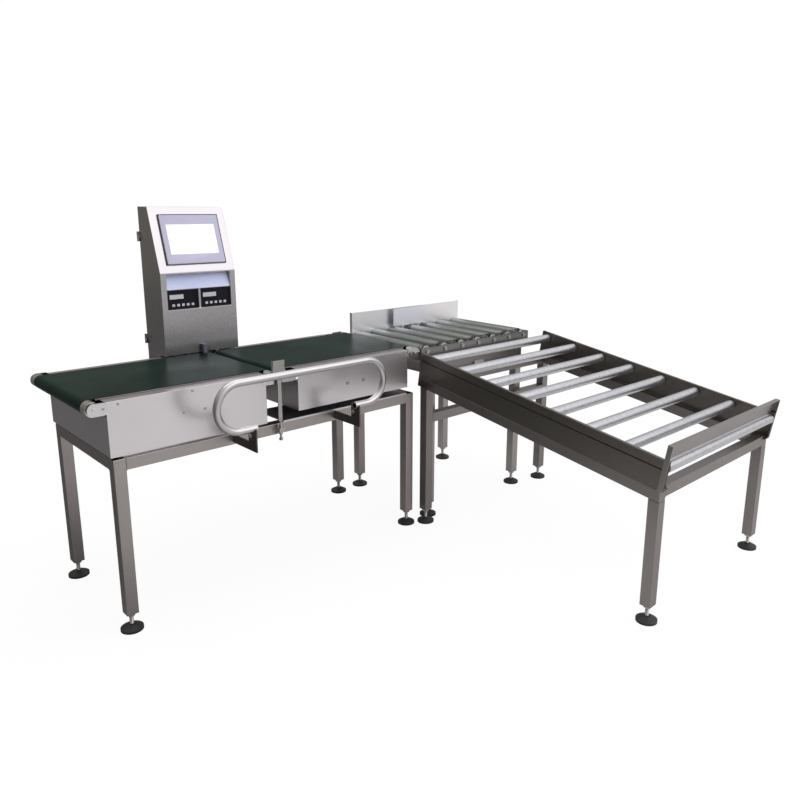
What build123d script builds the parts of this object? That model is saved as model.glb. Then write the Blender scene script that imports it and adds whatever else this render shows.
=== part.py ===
# Checkweigher line of three free-standing stainless modules.
# X is the product flow, -Y is the operator side and +Z is up.
# The origin is on the floor under the middle of the scale frame. Sizes are in millimetres.
from build123d import *
from math import cos, radians, sin, tan
import os

os.makedirs("parts", exist_ok=True)

# Square tube and sheet stock
tube = 38.0
tube_wall = 2.0
weld_gap = 0.2
sheet = 2.0
plate = 5.0
seat_gap = 0.3
running_fit = 0.08

# Levelling feet
leg_bottom = 58.0
pad_radius = 35.0
pad_rim = 8.0
pad_height = 20.0
pad_neck_radius = 13.0
stem_radius = 6.0
stem_seat = 9.0
lock_nut_width = 24.0
lock_nut_height = 9.0
plug_height = 14.0

# Scale frame
scale_span_x = 1168.0
scale_span_y = 473.0
scale_rail_top = 570.0
cell_rail_first = 200.0
cell_rail_second = 500.0

# Belts and rollers of the scale
belt_top = 755.0
belt_width = 416.0
belt_thickness = 2.0
belt_roller_radius = 20.0
belt_junction = 4.0
infeed_centres = 596.0
weigh_centres = 616.0
collar_radius = 22.0
collar_gap = 4.0
roller_end_gap = 5.5
journal_radius = 6.0
journal_proud = 3.0

# Casings of the two belt conveyors
casing_top = 750.0
infeed_casing_bottom = 578.0
weigh_casing_bottom = 598.0
end_wall_top = 706.0
infeed_casing_left_inset = 35.6
casing_end_inset = 28.4
weigh_left_inset = 51.0
weigh_right_inset = 44.0
flange_width = 43.0
slider_thickness = 5.0
slider_inset = 24.0
packer_width = 9.5
cross_bar_width = 24.0
cross_bar_height = 22.0
cross_bar_count = 3
end_plate_radius = 19.0
end_plate_centres = 26.0

# Belt drives inside the casings
motor_back = 101.0
motor_drop = 88.0
motor_radius = 36.0
motor_length = 150.0
gear_flange_width = 84.0
gear_flange_height = 74.0
drive_pulley_radius = 14.0
head_pulley_radius = 18.0
timing_width = 14.0
timing_thickness = 1.6
pulley_edge = 2.0
drive_clear = 4.0
shaft_depth = 30.0
link_spacing = 1.5

# Weighing cell and its carriers
deck_left = -14.0
deck_length = 580.0
deck_depth = 174.0
cell_plate_width = 120.0
cell_plate_thickness = 6.0
cell_length = 150.0
cell_slot_share = 0.25
cell_width = 40.0
cell_height = 36.0
cell_block_length = 38.0
cell_block_height = 10.0
spider_width = 130.0

# Bumper guard
guard_tube_radius = 12.5
guard_tube_wall = 1.5
guard_reach = 131.0
guard_half_length = 331.5
guard_low = 618.0
guard_high = 775.0
guard_stub_end = 198.0
bracket_x = 208.0
bracket_arm_low = 540.0
bracket_upright_width = 47.0
bracket_upright_shift = 6.0
bracket_bolt_back = 18.0
bracket_bolt_drop = 28.0

# Reflector post and sensor
sensor_x = -36.0
post_width = 14.0
post_thickness = 4.0
post_bottom = 583.0
post_offset = 14.0
post_nut_width = 13.0
post_nut_height = 7.0
reflector_size = 45.0
reflector_height = 42.0
reflector_thickness = 8.0
reflector_bottom = 754.0
rod_radius = 4.0
rod_bottom = 514.0
clamp_height = 16.0
clamp_width = 22.0
eye_offset = 26.0
eye_width = 14.0
lens_radius = 3.5
lens_rows = (0.25, 0.75)
eye_height = 32.0
eye_depth = 20.0

# Console
console_width = 300.0
console_centre_x = -61.0
console_front = 217.0
console_depth = 155.0
console_bottom = 755.5
console_fold = 1063.0
console_top = 1300.0
console_lean = 75.0
console_sheet = 2.0
door_rim = 16.0
door_edge = 4.0
door_clear = 1.0
hinge_radius = 4.5
hinge_pin_radius = 2.5
hinge_length = 36.0
hinge_leaf = 2.0
hinge_low = 805.0
hinge_high = 1191.0
lock_radius = 11.0
lock_height = 5.0
lock_shaft_radius = 5.0
lock_inset = 12.0
lock_reach = 22.0
lock_slot = 3.0
touch_width = 231.0
touch_height = 185.0
touch_start = 31.0
touch_thickness = 7.0
touch_lap = 8.0
touch_corner = 5.0
touch_bevel = 1.5
touch_rear = 36.0
display_width = 191.0
display_height = 113.0
display_start = 67.0
display_recess = 1.5
recess_width = 256.0
recess_bottom = 927.0
recess_top = 1058.0
recess_depth = 30.0
module_height = 72.0
module_split = 8.0
module_inset = 4.0
key_size = 9.0
key_corner = 2.25
window_share = 0.2
key_pitch = 19.0
key_row = 16.0
key_count = 5
module_border = 6.0
window_width = 62.0
window_height = 20.0
window_row = 47.0
pedestal_bottom = 534.0
pedestal_clear = 10.5
lug_length = 30.0
gear_plate_back = 45.0
gear_plate_bottom = 800.0
gear_plate_height = 230.0
gear_block_width = 44.0
gear_block_depth = 62.0
gear_block_height = 90.0
gear_block_count = 4
gear_block_pitch = 56.0
duct_depth = 40.0
duct_height = 34.0

# Powered roller section with the pusher
reject_gap = 9.0
reject_length = 690.0
reject_leg_span = 562.0
reject_rail_top = 670.0
reject_bed_top = 745.0
reject_bed_depth = 462.0
reject_roller_radius = 25.0
reject_roller_count = 7
reject_pitch = 103.5
drive_zone = 26.0
groove_depth = 4.0
axle_radius = 6.0
axle_head_radius = 9.0
axle_head = 5.0
roller_wall = 2.0
roller_cap = 10.0
board_top = 840.0
board_edge = 14.0
push_plate_width = 230.0
post_radius = 8.0
post_inset = 13.5
plate_overlap = 0.5
push_plate_bottom = 758.0
board_bottom = 738.0
roller_side_gap = 3.5
channel_plate = 3.0
channel_foot = 30.0
end_sheet_height = 50.0
slide_rod_radius = 8.0
slide_rod_spacing = 140.0
cylinder_radius = 12.0
carriage_length = 200.0
carriage_depth = 44.0
carriage_height = 34.0

# Gravity roller table
table_gap = 7.0
table_span_x = 772.0
table_span_y = 1045.0
table_left_offset = 56.0
table_slope = 8.9
table_bed_top = 734.0
table_bed_back = 12.5
table_bed_length = 1098.0
channel_height = 105.0
channel_sheet = 3.0
channel_inset = 7.0
hem_height = 30.0
hem_proud = 9.0
channel_flange = 31.0
panel_proud = 6.0
groove_height = 6.0
table_roller_radius = 19.0
table_roller_count = 8
table_roller_first = 35.0
table_roller_pitch = 152.0
table_roller_sink = 27.0
table_end_gap = 3.0
stop_above = 52.0
stop_depth = 17.0
back_rail_low = 440.0
front_rail_low = 432.0
table_roller_wall = 1.5
table_axle_proud = 2.0
joint_plate_width = 60.0
joint_plate_height = 16.0

# Screws, the first two lists as X and Z on the front panels
panel_screws = ((-574.0, 739.0), (-342.0, 739.0), (-375.0, 675.0), (-303.0, 675.0), (524.0, 739.0))
panel_bolts = ((270.0, 665.0), (346.0, 666.0))
screw_radius = 4.0
screw_height = 2.0
bolt_radius = 6.5
bolt_height = 5.0

# Worked out sizes shared by several pieces
half_x = scale_span_x / 2
half_y = scale_span_y / 2
frame_half_y = half_y + tube / 2
front_face = -frame_half_y
belt_inner_radius = belt_roller_radius + seat_gap
belt_outer_radius = belt_inner_radius + belt_thickness
belt_axis_z = belt_top - belt_outer_radius
infeed_head_x = -(2 * belt_outer_radius + belt_junction)
infeed_tail_x = infeed_head_x - infeed_centres
weigh_left_x = 0.0
weigh_right_x = weigh_left_x + weigh_centres
infeed_casing_left = infeed_tail_x + infeed_casing_left_inset
infeed_casing_right = infeed_head_x - casing_end_inset
weigh_casing_left = weigh_left_x + weigh_left_inset
weigh_casing_right = weigh_right_x - weigh_right_inset
slider_top = belt_axis_z + belt_roller_radius
slider_bottom = slider_top - slider_thickness
roller_end_y = frame_half_y - roller_end_gap
pulley_outer_y = roller_end_y - pulley_edge
pulley_inner_y = pulley_outer_y - timing_width - 2 * pulley_edge
motor_z = belt_axis_z - motor_drop


def tube_section(x, y):
    """Draw one square tube section in the active sketch."""
    with Locations((x, y)):
        Rectangle(tube, tube)
        Rectangle(tube - 2 * tube_wall, tube - 2 * tube_wall, mode=Mode.SUBTRACT)


def rail_x(x_from, x_to, y, z):
    """Add a square tube that runs along X with its axis at y and z."""
    with BuildSketch(Plane.YZ.offset(x_from)) as outline:
        tube_section(y, z)
    extrude(outline.sketch, amount=x_to - x_from)


def rail_y(x, y_from, y_to, z):
    """Add a square tube that runs along Y with its axis at x and z."""
    with BuildSketch(Plane.XZ.offset(-y_to)) as outline:
        tube_section(x, z)
    extrude(outline.sketch, amount=y_to - y_from)


def leg(x, y, top):
    """Add an upright square tube from the foot up to the given height."""
    with BuildSketch(Plane.XY.offset(leg_bottom)) as outline:
        tube_section(x, y)
    extrude(outline.sketch, amount=top - leg_bottom)


def block(x_from, x_to, y_from, y_to, z_from, z_to, mode=Mode.ADD):
    """Add or cut an upright block between its six faces."""
    with BuildSketch(Plane.XY.offset(z_from)) as outline:
        with Locations(((x_from + x_to) / 2, (y_from + y_to) / 2)):
            Rectangle(x_to - x_from, y_to - y_from)
    extrude(outline.sketch, amount=z_to - z_from, mode=mode)


def cylinder_y(x, z, radius, y_from, y_to, mode=Mode.ADD):
    """Add or cut a cylinder along Y."""
    with BuildSketch(Plane.XZ.offset(-y_to)) as outline:
        with Locations((x, z)):
            Circle(radius)
    extrude(outline.sketch, amount=y_to - y_from, mode=mode)


def upright_cylinder(x, y, radius, z_from, z_to, mode=Mode.ADD):
    """Add or cut a cylinder along Z."""
    with BuildSketch(Plane.XY.offset(z_from)) as outline:
        with Locations((x, y)):
            Circle(radius)
    extrude(outline.sketch, amount=z_to - z_from, mode=mode)


def cylinder_x(y, z, radius, x_from, x_to, mode=Mode.ADD):
    """Add or cut a cylinder along X."""
    with BuildSketch(Plane.YZ.offset(x_from)) as outline:
        with Locations((y, z)):
            Circle(radius)
    extrude(outline.sketch, amount=x_to - x_from, mode=mode)


def save(builder, label):
    """Label a finished piece and write its file."""
    builder.part.label = label
    export_step(builder.part, f"parts/{label}.step")


# Legs of the three modules
scale_legs = [(sx * half_x, sy * half_y) for sx in (-1, 1) for sy in (-1, 1)]
reject_left = weigh_right_x + belt_outer_radius + reject_gap
reject_right = reject_left + reject_length
reject_centre = (reject_left + reject_right) / 2
reject_legs = [
    (reject_centre + sx * reject_leg_span / 2, sy * half_y) for sx in (-1, 1) for sy in (-1, 1)
]
table_left = reject_centre - reject_leg_span / 2 - table_left_offset
table_right = table_left + table_span_x
table_back = front_face - table_gap - tube / 2
table_front = table_back - table_span_y
table_legs = [(x, y) for x in (table_left, table_right) for y in (table_back, table_front)]
all_legs = scale_legs + reject_legs + table_legs

# Slope of the gravity table
slope = radians(table_slope)
bed_origin_y = front_face - table_bed_back


def bed_point(along, above):
    """Give Y and Z of a point at a distance along the sloped bed and above its top line."""
    y = bed_origin_y - along * cos(slope) - above * sin(slope)
    z = table_bed_top - along * sin(slope) + above * cos(slope)
    return y, z


def slope_block(x_from, x_to, along_from, along_to, low, high, mode=Mode.ADD):
    """Add or cut a block that lies square to the sloped bed."""
    with BuildSketch(Plane.YZ.offset(x_from)) as outline:
        with BuildLine():
            Polyline(
                bed_point(along_from, low),
                bed_point(along_to, low),
                bed_point(along_to, high),
                bed_point(along_from, high),
                close=True,
            )
        make_face()
    extrude(outline.sketch, amount=x_to - x_from, mode=mode)


def below_bed(y, depth):
    """Give the height of the line that runs at a depth square to the bed's top line."""
    return table_bed_top - (bed_origin_y - y) * tan(slope) - depth / cos(slope)


# Black pads under the twelve feet
with BuildPart() as feet_pads:
    for foot_x, foot_y in all_legs:
        with BuildSketch(Plane((foot_x, foot_y, 0), x_dir=(1, 0, 0), z_dir=(0, -1, 0))):
            with BuildLine():
                Polyline(
                    (0, 0),
                    (pad_radius, 0),
                    (pad_radius, pad_rim),
                    (pad_neck_radius, pad_height),
                    (stem_radius + seat_gap, pad_height),
                    (stem_radius + seat_gap, stem_seat),
                    (0, stem_seat),
                    close=True,
                )
            make_face()
        revolve(axis=Axis((foot_x, foot_y, 0), (0, 0, 1)))
save(feet_pads, "feet_pads")

# Threaded stems with lock nuts and the plugs that close the tube ends
with BuildPart() as feet_stems:
    for foot_x, foot_y in all_legs:
        with BuildSketch(Plane.XY.offset(stem_seat)):
            with Locations((foot_x, foot_y)):
                Circle(stem_radius)
        extrude(amount=leg_bottom - stem_seat)
        with BuildSketch(Plane.XY.offset(leg_bottom - lock_nut_height)):
            with Locations((foot_x, foot_y)):
                RegularPolygon(lock_nut_width / 2, 6, major_radius=False)
        extrude(amount=lock_nut_height)
        with BuildSketch(Plane.XY.offset(leg_bottom)):
            with Locations((foot_x, foot_y)):
                Rectangle(tube - 2 * tube_wall - seat_gap, tube - 2 * tube_wall - seat_gap)
        extrude(amount=plug_height)
save(feet_stems, "feet_stems")

# Welded frame of the scale
scale_rail_z = scale_rail_top - tube / 2
with BuildPart() as scale_frame:
    for leg_x, leg_y in scale_legs:
        leg(leg_x, leg_y, scale_rail_top)
    inner_x = half_x - tube / 2 - weld_gap
    inner_y = half_y - tube / 2 - weld_gap
    for side in (-1, 1):
        rail_x(-inner_x, inner_x, side * half_y, scale_rail_z)
        rail_y(side * half_x, -inner_y, inner_y, scale_rail_z)
    for rail_position in (cell_rail_first, cell_rail_second):
        rail_y(rail_position, -inner_y, inner_y, scale_rail_z)
save(scale_frame, "scale_frame")


def casing(x_from, x_to, bottom, floor):
    """Add a folded casing with open top, top flanges and low end walls."""
    block(x_from, x_to, front_face, frame_half_y, bottom, casing_top)
    inner_bottom = bottom + (sheet if floor else 0)
    block(
        x_from + sheet, x_to - sheet, front_face + sheet, frame_half_y - sheet,
        inner_bottom, casing_top - sheet, mode=Mode.SUBTRACT,
    )
    open_half = frame_half_y - flange_width
    block(x_from, x_to, -open_half, open_half, casing_top - sheet, casing_top, mode=Mode.SUBTRACT)
    wall_half = frame_half_y - sheet
    block(x_from, x_to, -wall_half, wall_half, end_wall_top, casing_top - sheet, mode=Mode.SUBTRACT)


def drive_notch(x_from, x_to):
    """Cut the passage for a timing belt through an end wall and flange."""
    block(
        x_from, x_to, pulley_inner_y - drive_clear, frame_half_y - sheet,
        motor_z, casing_top, mode=Mode.SUBTRACT,
    )


# Boxed casing of the infeed conveyor
with BuildPart() as infeed_casing:
    casing(infeed_casing_left, infeed_casing_right, infeed_casing_bottom, True)
    drive_notch(infeed_casing_right - flange_width, infeed_casing_right)
save(infeed_casing, "infeed_casing")

# Bottomless casing of the weighing conveyor
with BuildPart() as weigh_casing:
    casing(weigh_casing_left, weigh_casing_right, weigh_casing_bottom, False)
    drive_notch(weigh_casing_right - flange_width, weigh_casing_right)
save(weigh_casing, "weigh_casing")


def belt_bed(x_tail, x_head, x_from, x_to):
    """Add the slider plate and the bars that carry it inside the belt loop."""
    slider_from = x_tail + slider_inset
    slider_to = x_head - slider_inset
    block(slider_from, slider_to, -belt_width / 2, belt_width / 2, slider_bottom, slider_top)
    span = x_to - x_from
    bar_half = frame_half_y - sheet
    for bar_index in range(cross_bar_count):
        bar_x = x_from + (bar_index + 1 / 2) * span / cross_bar_count
        block(
            bar_x - cross_bar_width / 2, bar_x + cross_bar_width / 2, -bar_half, bar_half,
            slider_bottom - cross_bar_height, slider_bottom,
        )


with BuildPart() as belt_beds:
    belt_bed(infeed_tail_x, infeed_head_x, infeed_casing_left, infeed_casing_right)
    belt_bed(weigh_left_x, weigh_right_x, weigh_casing_left, weigh_casing_right)
save(belt_beds, "belt_beds")

# Endless belts
for belt_name, belt_from, belt_centres in (
    ("infeed_belt", infeed_tail_x, infeed_centres),
    ("weigh_belt", weigh_left_x, weigh_centres),
):
    with BuildPart() as belt:
        with BuildSketch(Plane.XZ):
            with Locations((belt_from + belt_centres / 2, belt_axis_z)):
                SlotCenterToCenter(belt_centres, 2 * belt_outer_radius)
                SlotCenterToCenter(belt_centres, 2 * belt_inner_radius, mode=Mode.SUBTRACT)
        extrude(amount=belt_width / 2, both=True)
    save(belt, belt_name)

# Belt rollers: plain face under the belt, collars beside it and journals at the ends
journal_end = frame_half_y + plate + journal_proud
collar_start = belt_width / 2 + collar_gap
for roller_name, roller_x, driven in (
    ("infeed_tail_roller", infeed_tail_x, False),
    ("infeed_head_roller", infeed_head_x, True),
    ("weigh_left_roller", weigh_left_x, False),
    ("weigh_right_roller", weigh_right_x, True),
):
    with BuildPart() as belt_roller:
        cylinder_y(roller_x, belt_axis_z, collar_radius, -roller_end_y, -collar_start)
        cylinder_y(roller_x, belt_axis_z, belt_roller_radius, -collar_start, collar_start)
        if driven:
            cylinder_y(roller_x, belt_axis_z, collar_radius, collar_start, pulley_inner_y)
            cylinder_y(roller_x, belt_axis_z, head_pulley_radius, pulley_inner_y, pulley_outer_y)
            cylinder_y(roller_x, belt_axis_z, collar_radius, pulley_outer_y, roller_end_y)
        else:
            cylinder_y(roller_x, belt_axis_z, collar_radius, collar_start, roller_end_y)
        cylinder_y(roller_x, belt_axis_z, journal_radius, -journal_end, -roller_end_y)
        cylinder_y(roller_x, belt_axis_z, journal_radius, roller_end_y, journal_end)
    save(belt_roller, roller_name)

# Rounded plates at the roller ends, two for each roller
with BuildPart() as roller_end_plates:
    for roller_x, inward in (
        (infeed_tail_x, 1),
        (infeed_head_x, -1),
        (weigh_left_x, 1),
        (weigh_right_x, -1),
    ):
        for outer_y in (front_face, frame_half_y + plate):
            with BuildSketch(Plane.XZ.offset(-outer_y)):
                with Locations((roller_x + inward * end_plate_centres / 2, belt_axis_z)):
                    SlotCenterToCenter(end_plate_centres, 2 * end_plate_radius)
                with Locations((roller_x, belt_axis_z)):
                    Circle(journal_radius + running_fit, mode=Mode.SUBTRACT)
            extrude(amount=plate)
save(roller_end_plates, "roller_end_plates")

# Gear motors that hang inside the casings
motor_positions = (infeed_head_x - motor_back, weigh_right_x - motor_back)
gear_face = pulley_inner_y - drive_clear
motor_low = motor_z - motor_radius
with BuildPart() as gear_motors:
    for motor_x in motor_positions:
        flange_left = motor_x - gear_flange_width / 2
        cylinder_y(motor_x, motor_z, motor_radius, gear_face - motor_length, gear_face - plate)
        block(
            flange_left, flange_left + gear_flange_width, gear_face - plate, gear_face,
            motor_low, motor_low + gear_flange_height,
        )
        block(
            flange_left, flange_left + plate, gear_face, frame_half_y - sheet,
            motor_low, motor_low + gear_flange_height,
        )
        cylinder_y(
            motor_x, motor_z, journal_radius + running_fit, gear_face - shaft_depth, gear_face,
            mode=Mode.SUBTRACT,
        )
save(gear_motors, "gear_motors")

# Flanged drive pulleys with their shafts
for pulley_name, motor_x in zip(("infeed_drive_pulley", "weigh_drive_pulley"), motor_positions):
    flange_radius = drive_pulley_radius + pulley_edge
    with BuildPart() as drive_pulley:
        cylinder_y(motor_x, motor_z, drive_pulley_radius, pulley_inner_y, pulley_outer_y)
        cylinder_y(motor_x, motor_z, flange_radius, pulley_inner_y - pulley_edge, pulley_inner_y)
        cylinder_y(motor_x, motor_z, flange_radius, pulley_outer_y, pulley_outer_y + pulley_edge)
        cylinder_y(
            motor_x, motor_z, journal_radius, gear_face - shaft_depth + seat_gap,
            pulley_inner_y - pulley_edge,
        )
    save(drive_pulley, pulley_name)

# Bed of the powered rollers: front angle, back angle and two end sheets
bed_back_face = front_face + reject_bed_depth
reject_axis_z = belt_top - reject_roller_radius
roller_front_y = front_face + channel_plate + roller_side_gap
roller_back_y = bed_back_face - channel_plate - roller_side_gap
reject_roller_xs = [
    reject_centre + (index - (reject_roller_count - 1) / 2) * reject_pitch
    for index in range(reject_roller_count)
]
groove_radius = reject_roller_radius - groove_depth

# Timing belts of the conveyors and the short belts that link the powered rollers
with BuildPart() as drive_belts:
    for motor_x, head_x in zip(motor_positions, (infeed_head_x, weigh_right_x)):
        with BuildSketch(Plane.XZ.offset(-pulley_outer_y + seat_gap)):
            for extra, belt_mode in ((timing_thickness, Mode.ADD), (0, Mode.SUBTRACT)):
                with BuildSketch(mode=belt_mode):
                    with Locations((motor_x, motor_z)):
                        Circle(drive_pulley_radius + seat_gap + extra)
                    with Locations((head_x, belt_axis_z)):
                        Circle(head_pulley_radius + seat_gap + extra)
                    make_hull()
        extrude(amount=timing_width + 2 * pulley_edge - 2 * seat_gap)
    link_width = drive_zone / 2 - link_spacing
    for index in range(reject_roller_count - 1):
        link_y = roller_front_y + link_spacing + (index % 2) * (drive_zone / 2) + link_width
        link_radius = groove_radius + seat_gap
        with BuildSketch(Plane.XZ.offset(-link_y)):
            with Locations((reject_roller_xs[index] + reject_pitch / 2, reject_axis_z)):
                SlotCenterToCenter(reject_pitch, 2 * (link_radius + timing_thickness))
                SlotCenterToCenter(reject_pitch, 2 * link_radius, mode=Mode.SUBTRACT)
        extrude(amount=link_width)
save(drive_belts, "drive_belts")

# Packers under the infeed casing, shelf under the weighing conveyor and links to the other modules
table_cross_z = below_bed(table_back, channel_height + tube / 2)
with BuildPart() as support_plates:
    for side in (-1, 1):
        block(
            -half_x, infeed_casing_right - tube, side * half_y - packer_width / 2,
            side * half_y + packer_width / 2, scale_rail_top, infeed_casing_bottom,
        )
    block(
        deck_left, deck_left + deck_length, front_face, front_face + deck_depth,
        scale_rail_top, scale_rail_top + plate,
    )
    block(
        half_x + tube / 2, reject_centre - reject_leg_span / 2 - tube / 2, half_y,
        half_y + plate, scale_rail_z - joint_plate_height / 2,
        scale_rail_z + joint_plate_height / 2,
    )
    block(
        reject_centre - joint_plate_width / 2, reject_centre + joint_plate_width / 2,
        front_face - table_gap, front_face, table_cross_z, reject_rail_top - tube / 2,
    )
save(support_plates, "support_plates")

# Weighing cell between its carrier plate and the plate that holds the conveyor
cell_middle = (cell_rail_first + cell_rail_second) / 2
cell_left = cell_middle - cell_length / 2
cell_bottom = scale_rail_top + cell_plate_thickness + cell_block_height
cell_top = cell_bottom + cell_height
with BuildPart() as load_cell_carriers:
    block(
        cell_rail_first - tube / 2, cell_rail_second + tube / 2, -cell_plate_width / 2,
        cell_plate_width / 2, scale_rail_top, scale_rail_top + cell_plate_thickness,
    )
    block(
        cell_left, cell_left + cell_block_length, -cell_width / 2, cell_width / 2,
        cell_bottom - cell_block_height, cell_bottom,
    )
    spider_right = cell_left + cell_length + spider_width / 2 - cell_block_length / 2
    block(
        cell_left + cell_length - cell_block_length, cell_left + cell_length, -cell_width / 2,
        cell_width / 2, cell_top, cell_top + cell_block_height,
    )
    block(
        spider_right - spider_width, spider_right, -frame_half_y + sheet, frame_half_y - sheet,
        cell_top + cell_block_height, cell_top + cell_block_height + plate,
    )
save(load_cell_carriers, "load_cell_carriers")

with BuildPart() as load_cell:
    block(cell_left, cell_left + cell_length, -cell_width / 2, cell_width / 2, cell_bottom, cell_top)
    with BuildSketch(Plane.XZ):
        with Locations((cell_middle, (cell_bottom + cell_top) / 2)):
            SlotCenterToCenter(cell_slot_share * cell_length, cell_height / 2)
    extrude(amount=cell_width / 2, both=True, mode=Mode.SUBTRACT)
save(load_cell, "load_cell")

# Bent tube guard in front of the belt junction
guard_y = front_face - guard_reach
guard_radius = (guard_high - guard_low) / 2
guard_middle = (guard_high + guard_low) / 2
guard_arc_x = guard_half_length - guard_radius
with BuildPart() as bumper_guard:
    with BuildLine(Plane.XZ.offset(-guard_y)) as guard_path:
        Polyline((-guard_stub_end, guard_low), (-guard_arc_x, guard_low))
        ThreePointArc(
            (-guard_arc_x, guard_low), (-guard_half_length, guard_middle), (-guard_arc_x, guard_high)
        )
        Line((-guard_arc_x, guard_high), (guard_arc_x, guard_high))
        ThreePointArc(
            (guard_arc_x, guard_high), (guard_half_length, guard_middle), (guard_arc_x, guard_low)
        )
        Line((guard_arc_x, guard_low), (guard_stub_end, guard_low))
    with BuildSketch(Plane((-guard_stub_end, guard_y, guard_low), x_dir=(0, 1, 0), z_dir=(-1, 0, 0))):
        Circle(guard_tube_radius)
        Circle(guard_tube_radius - guard_tube_wall, mode=Mode.SUBTRACT)
    sweep(path=guard_path.wires()[0])
save(bumper_guard, "bumper_guard")

# Two bent arms that carry the guard from the front rail
upright_back = guard_y + bracket_upright_shift + bracket_upright_width / 2
bracket_arm_top = scale_rail_top
with BuildPart() as guard_brackets:
    for bracket_side in (-1, 1):
        bracket_left = bracket_side * bracket_x - plate / 2
        with BuildSketch(Plane.YZ.offset(bracket_left)):
            with BuildLine():
                Polyline(
                    (front_face, bracket_arm_low),
                    (front_face, bracket_arm_top),
                    (upright_back, bracket_arm_top),
                    (upright_back, guard_low),
                    (upright_back - bracket_upright_width, guard_low),
                    (upright_back - bracket_upright_width, bracket_arm_low),
                    close=True,
                )
            make_face()
            with Locations((guard_y, guard_low)):
                Circle(guard_tube_radius + seat_gap, mode=Mode.SUBTRACT)
        extrude(amount=plate)
save(guard_brackets, "guard_brackets")

# Post with threaded lower end, clamp block, nuts and the plate that holds the reflector
post_y = front_face - post_offset - post_thickness / 2
clamp_low = scale_rail_z - clamp_height / 2
with BuildPart() as reflector_post:
    block(
        sensor_x - post_width / 2, sensor_x + post_width / 2, post_y - post_thickness / 2,
        post_y + post_thickness / 2, post_bottom, reflector_bottom,
    )
    block(
        sensor_x - reflector_size / 2, sensor_x + reflector_size / 2, post_y - post_thickness / 2,
        post_y + post_thickness / 2, reflector_bottom, reflector_bottom + reflector_height,
    )
    with BuildSketch(Plane.XY.offset(rod_bottom)):
        with Locations((sensor_x, post_y)):
            Circle(rod_radius)
    extrude(amount=post_bottom + post_width - rod_bottom)
    for nut_z in (rod_bottom, clamp_low - post_nut_height, clamp_low + clamp_height):
        with BuildSketch(Plane.XY.offset(nut_z)):
            with Locations((sensor_x, post_y)):
                RegularPolygon(post_nut_width / 2, 6, major_radius=False)
        extrude(amount=post_nut_height)
    block(
        sensor_x - clamp_width / 2, sensor_x + clamp_width / 2, post_y - clamp_width / 2,
        front_face, clamp_low, clamp_low + clamp_height,
    )
save(reflector_post, "reflector_post")

with BuildPart() as reflector:
    block(
        sensor_x - reflector_size / 2 + sheet, sensor_x + reflector_size / 2 - sheet,
        post_y + post_thickness / 2, post_y + post_thickness / 2 + reflector_thickness,
        reflector_bottom + sheet, reflector_bottom + reflector_height - sheet,
    )
save(reflector, "reflector")

# Light sensor at the far side of the belt, in line with the reflector
eye_bottom = console_bottom + 2 * seat_gap
eye_x = sensor_x - eye_offset
with BuildPart() as photo_eye:
    block(
        eye_x - eye_width / 2, eye_x + eye_width / 2, console_front - eye_depth,
        console_front, eye_bottom, eye_bottom + eye_height,
    )
    for lens_share in lens_rows:
        with BuildSketch(Plane.XZ.offset(-(console_front - eye_depth))):
            with Locations((eye_x, eye_bottom + lens_share * eye_height)):
                Circle(lens_radius)
        extrude(amount=-sheet / 2, mode=Mode.SUBTRACT)
save(photo_eye, "photo_eye")

# Console cabinet: folded shell with leaning face, rear opening and a hooded recess for two modules
console_back = console_front + console_depth
console_left = console_centre_x - console_width / 2
console_right = console_centre_x + console_width / 2
lean_plane = Plane(
    origin=(console_centre_x, console_front, console_fold),
    x_dir=(1, 0, 0),
    z_dir=(0, console_fold - console_top, console_lean),
)
recess_half = recess_width / 2
recess_left = console_centre_x - recess_half
recess_right = console_centre_x + recess_half
touch_middle = touch_start + touch_height / 2
module_top = recess_bottom + module_height
module_face = console_front + module_inset
recess_floor = console_front + recess_depth
with BuildPart() as console_cabinet:
    with BuildSketch(Plane.YZ.offset(console_left)):
        with BuildLine():
            Polyline(
                (console_front, console_bottom),
                (console_front, console_fold),
                (console_front + console_lean, console_top),
                (console_back, console_top),
                (console_back, console_bottom),
                close=True,
            )
        make_face()
    extrude(amount=console_width)
    with BuildSketch(Plane.YZ.offset(console_left + console_sheet)):
        with BuildLine():
            Polyline(
                (console_front, console_bottom),
                (console_front, console_fold),
                (console_front + console_lean, console_top),
                (console_back, console_top),
                (console_back, console_bottom),
                close=True,
            )
        make_face()
        offset(amount=-console_sheet, kind=Kind.INTERSECTION)
    extrude(amount=console_width - 2 * console_sheet, mode=Mode.SUBTRACT)
    block(
        recess_left - console_sheet, recess_right + console_sheet, console_front,
        console_front + recess_depth + console_sheet, recess_bottom - console_sheet,
        recess_top + console_sheet,
    )
    block(
        recess_left, recess_right, console_front, console_front + recess_depth, recess_bottom,
        recess_top, mode=Mode.SUBTRACT,
    )
    with BuildSketch(lean_plane):
        with Locations((0, touch_middle)):
            Rectangle(touch_width - 2 * touch_lap, touch_height - 2 * touch_lap)
    extrude(amount=-2 * console_sheet, mode=Mode.SUBTRACT)
    block(
        console_left + door_rim, console_right - door_rim, console_back - console_sheet,
        console_back, console_bottom + door_rim, console_top - door_rim, mode=Mode.SUBTRACT,
    )
    with BuildSketch(Plane.YZ.offset(recess_left)):
        with BuildLine():
            Polyline(
                (module_face, module_top),
                (module_face, module_top + console_sheet),
                (recess_floor - console_sheet, recess_top),
                (recess_floor, recess_top),
                (recess_floor, module_top),
                close=True,
            )
        make_face()
    extrude(amount=recess_width)
    block(
        console_centre_x - module_split / 2, console_centre_x + module_split / 2, module_face,
        recess_floor, recess_bottom, module_top,
    )
save(console_cabinet, "console_cabinet")

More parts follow.
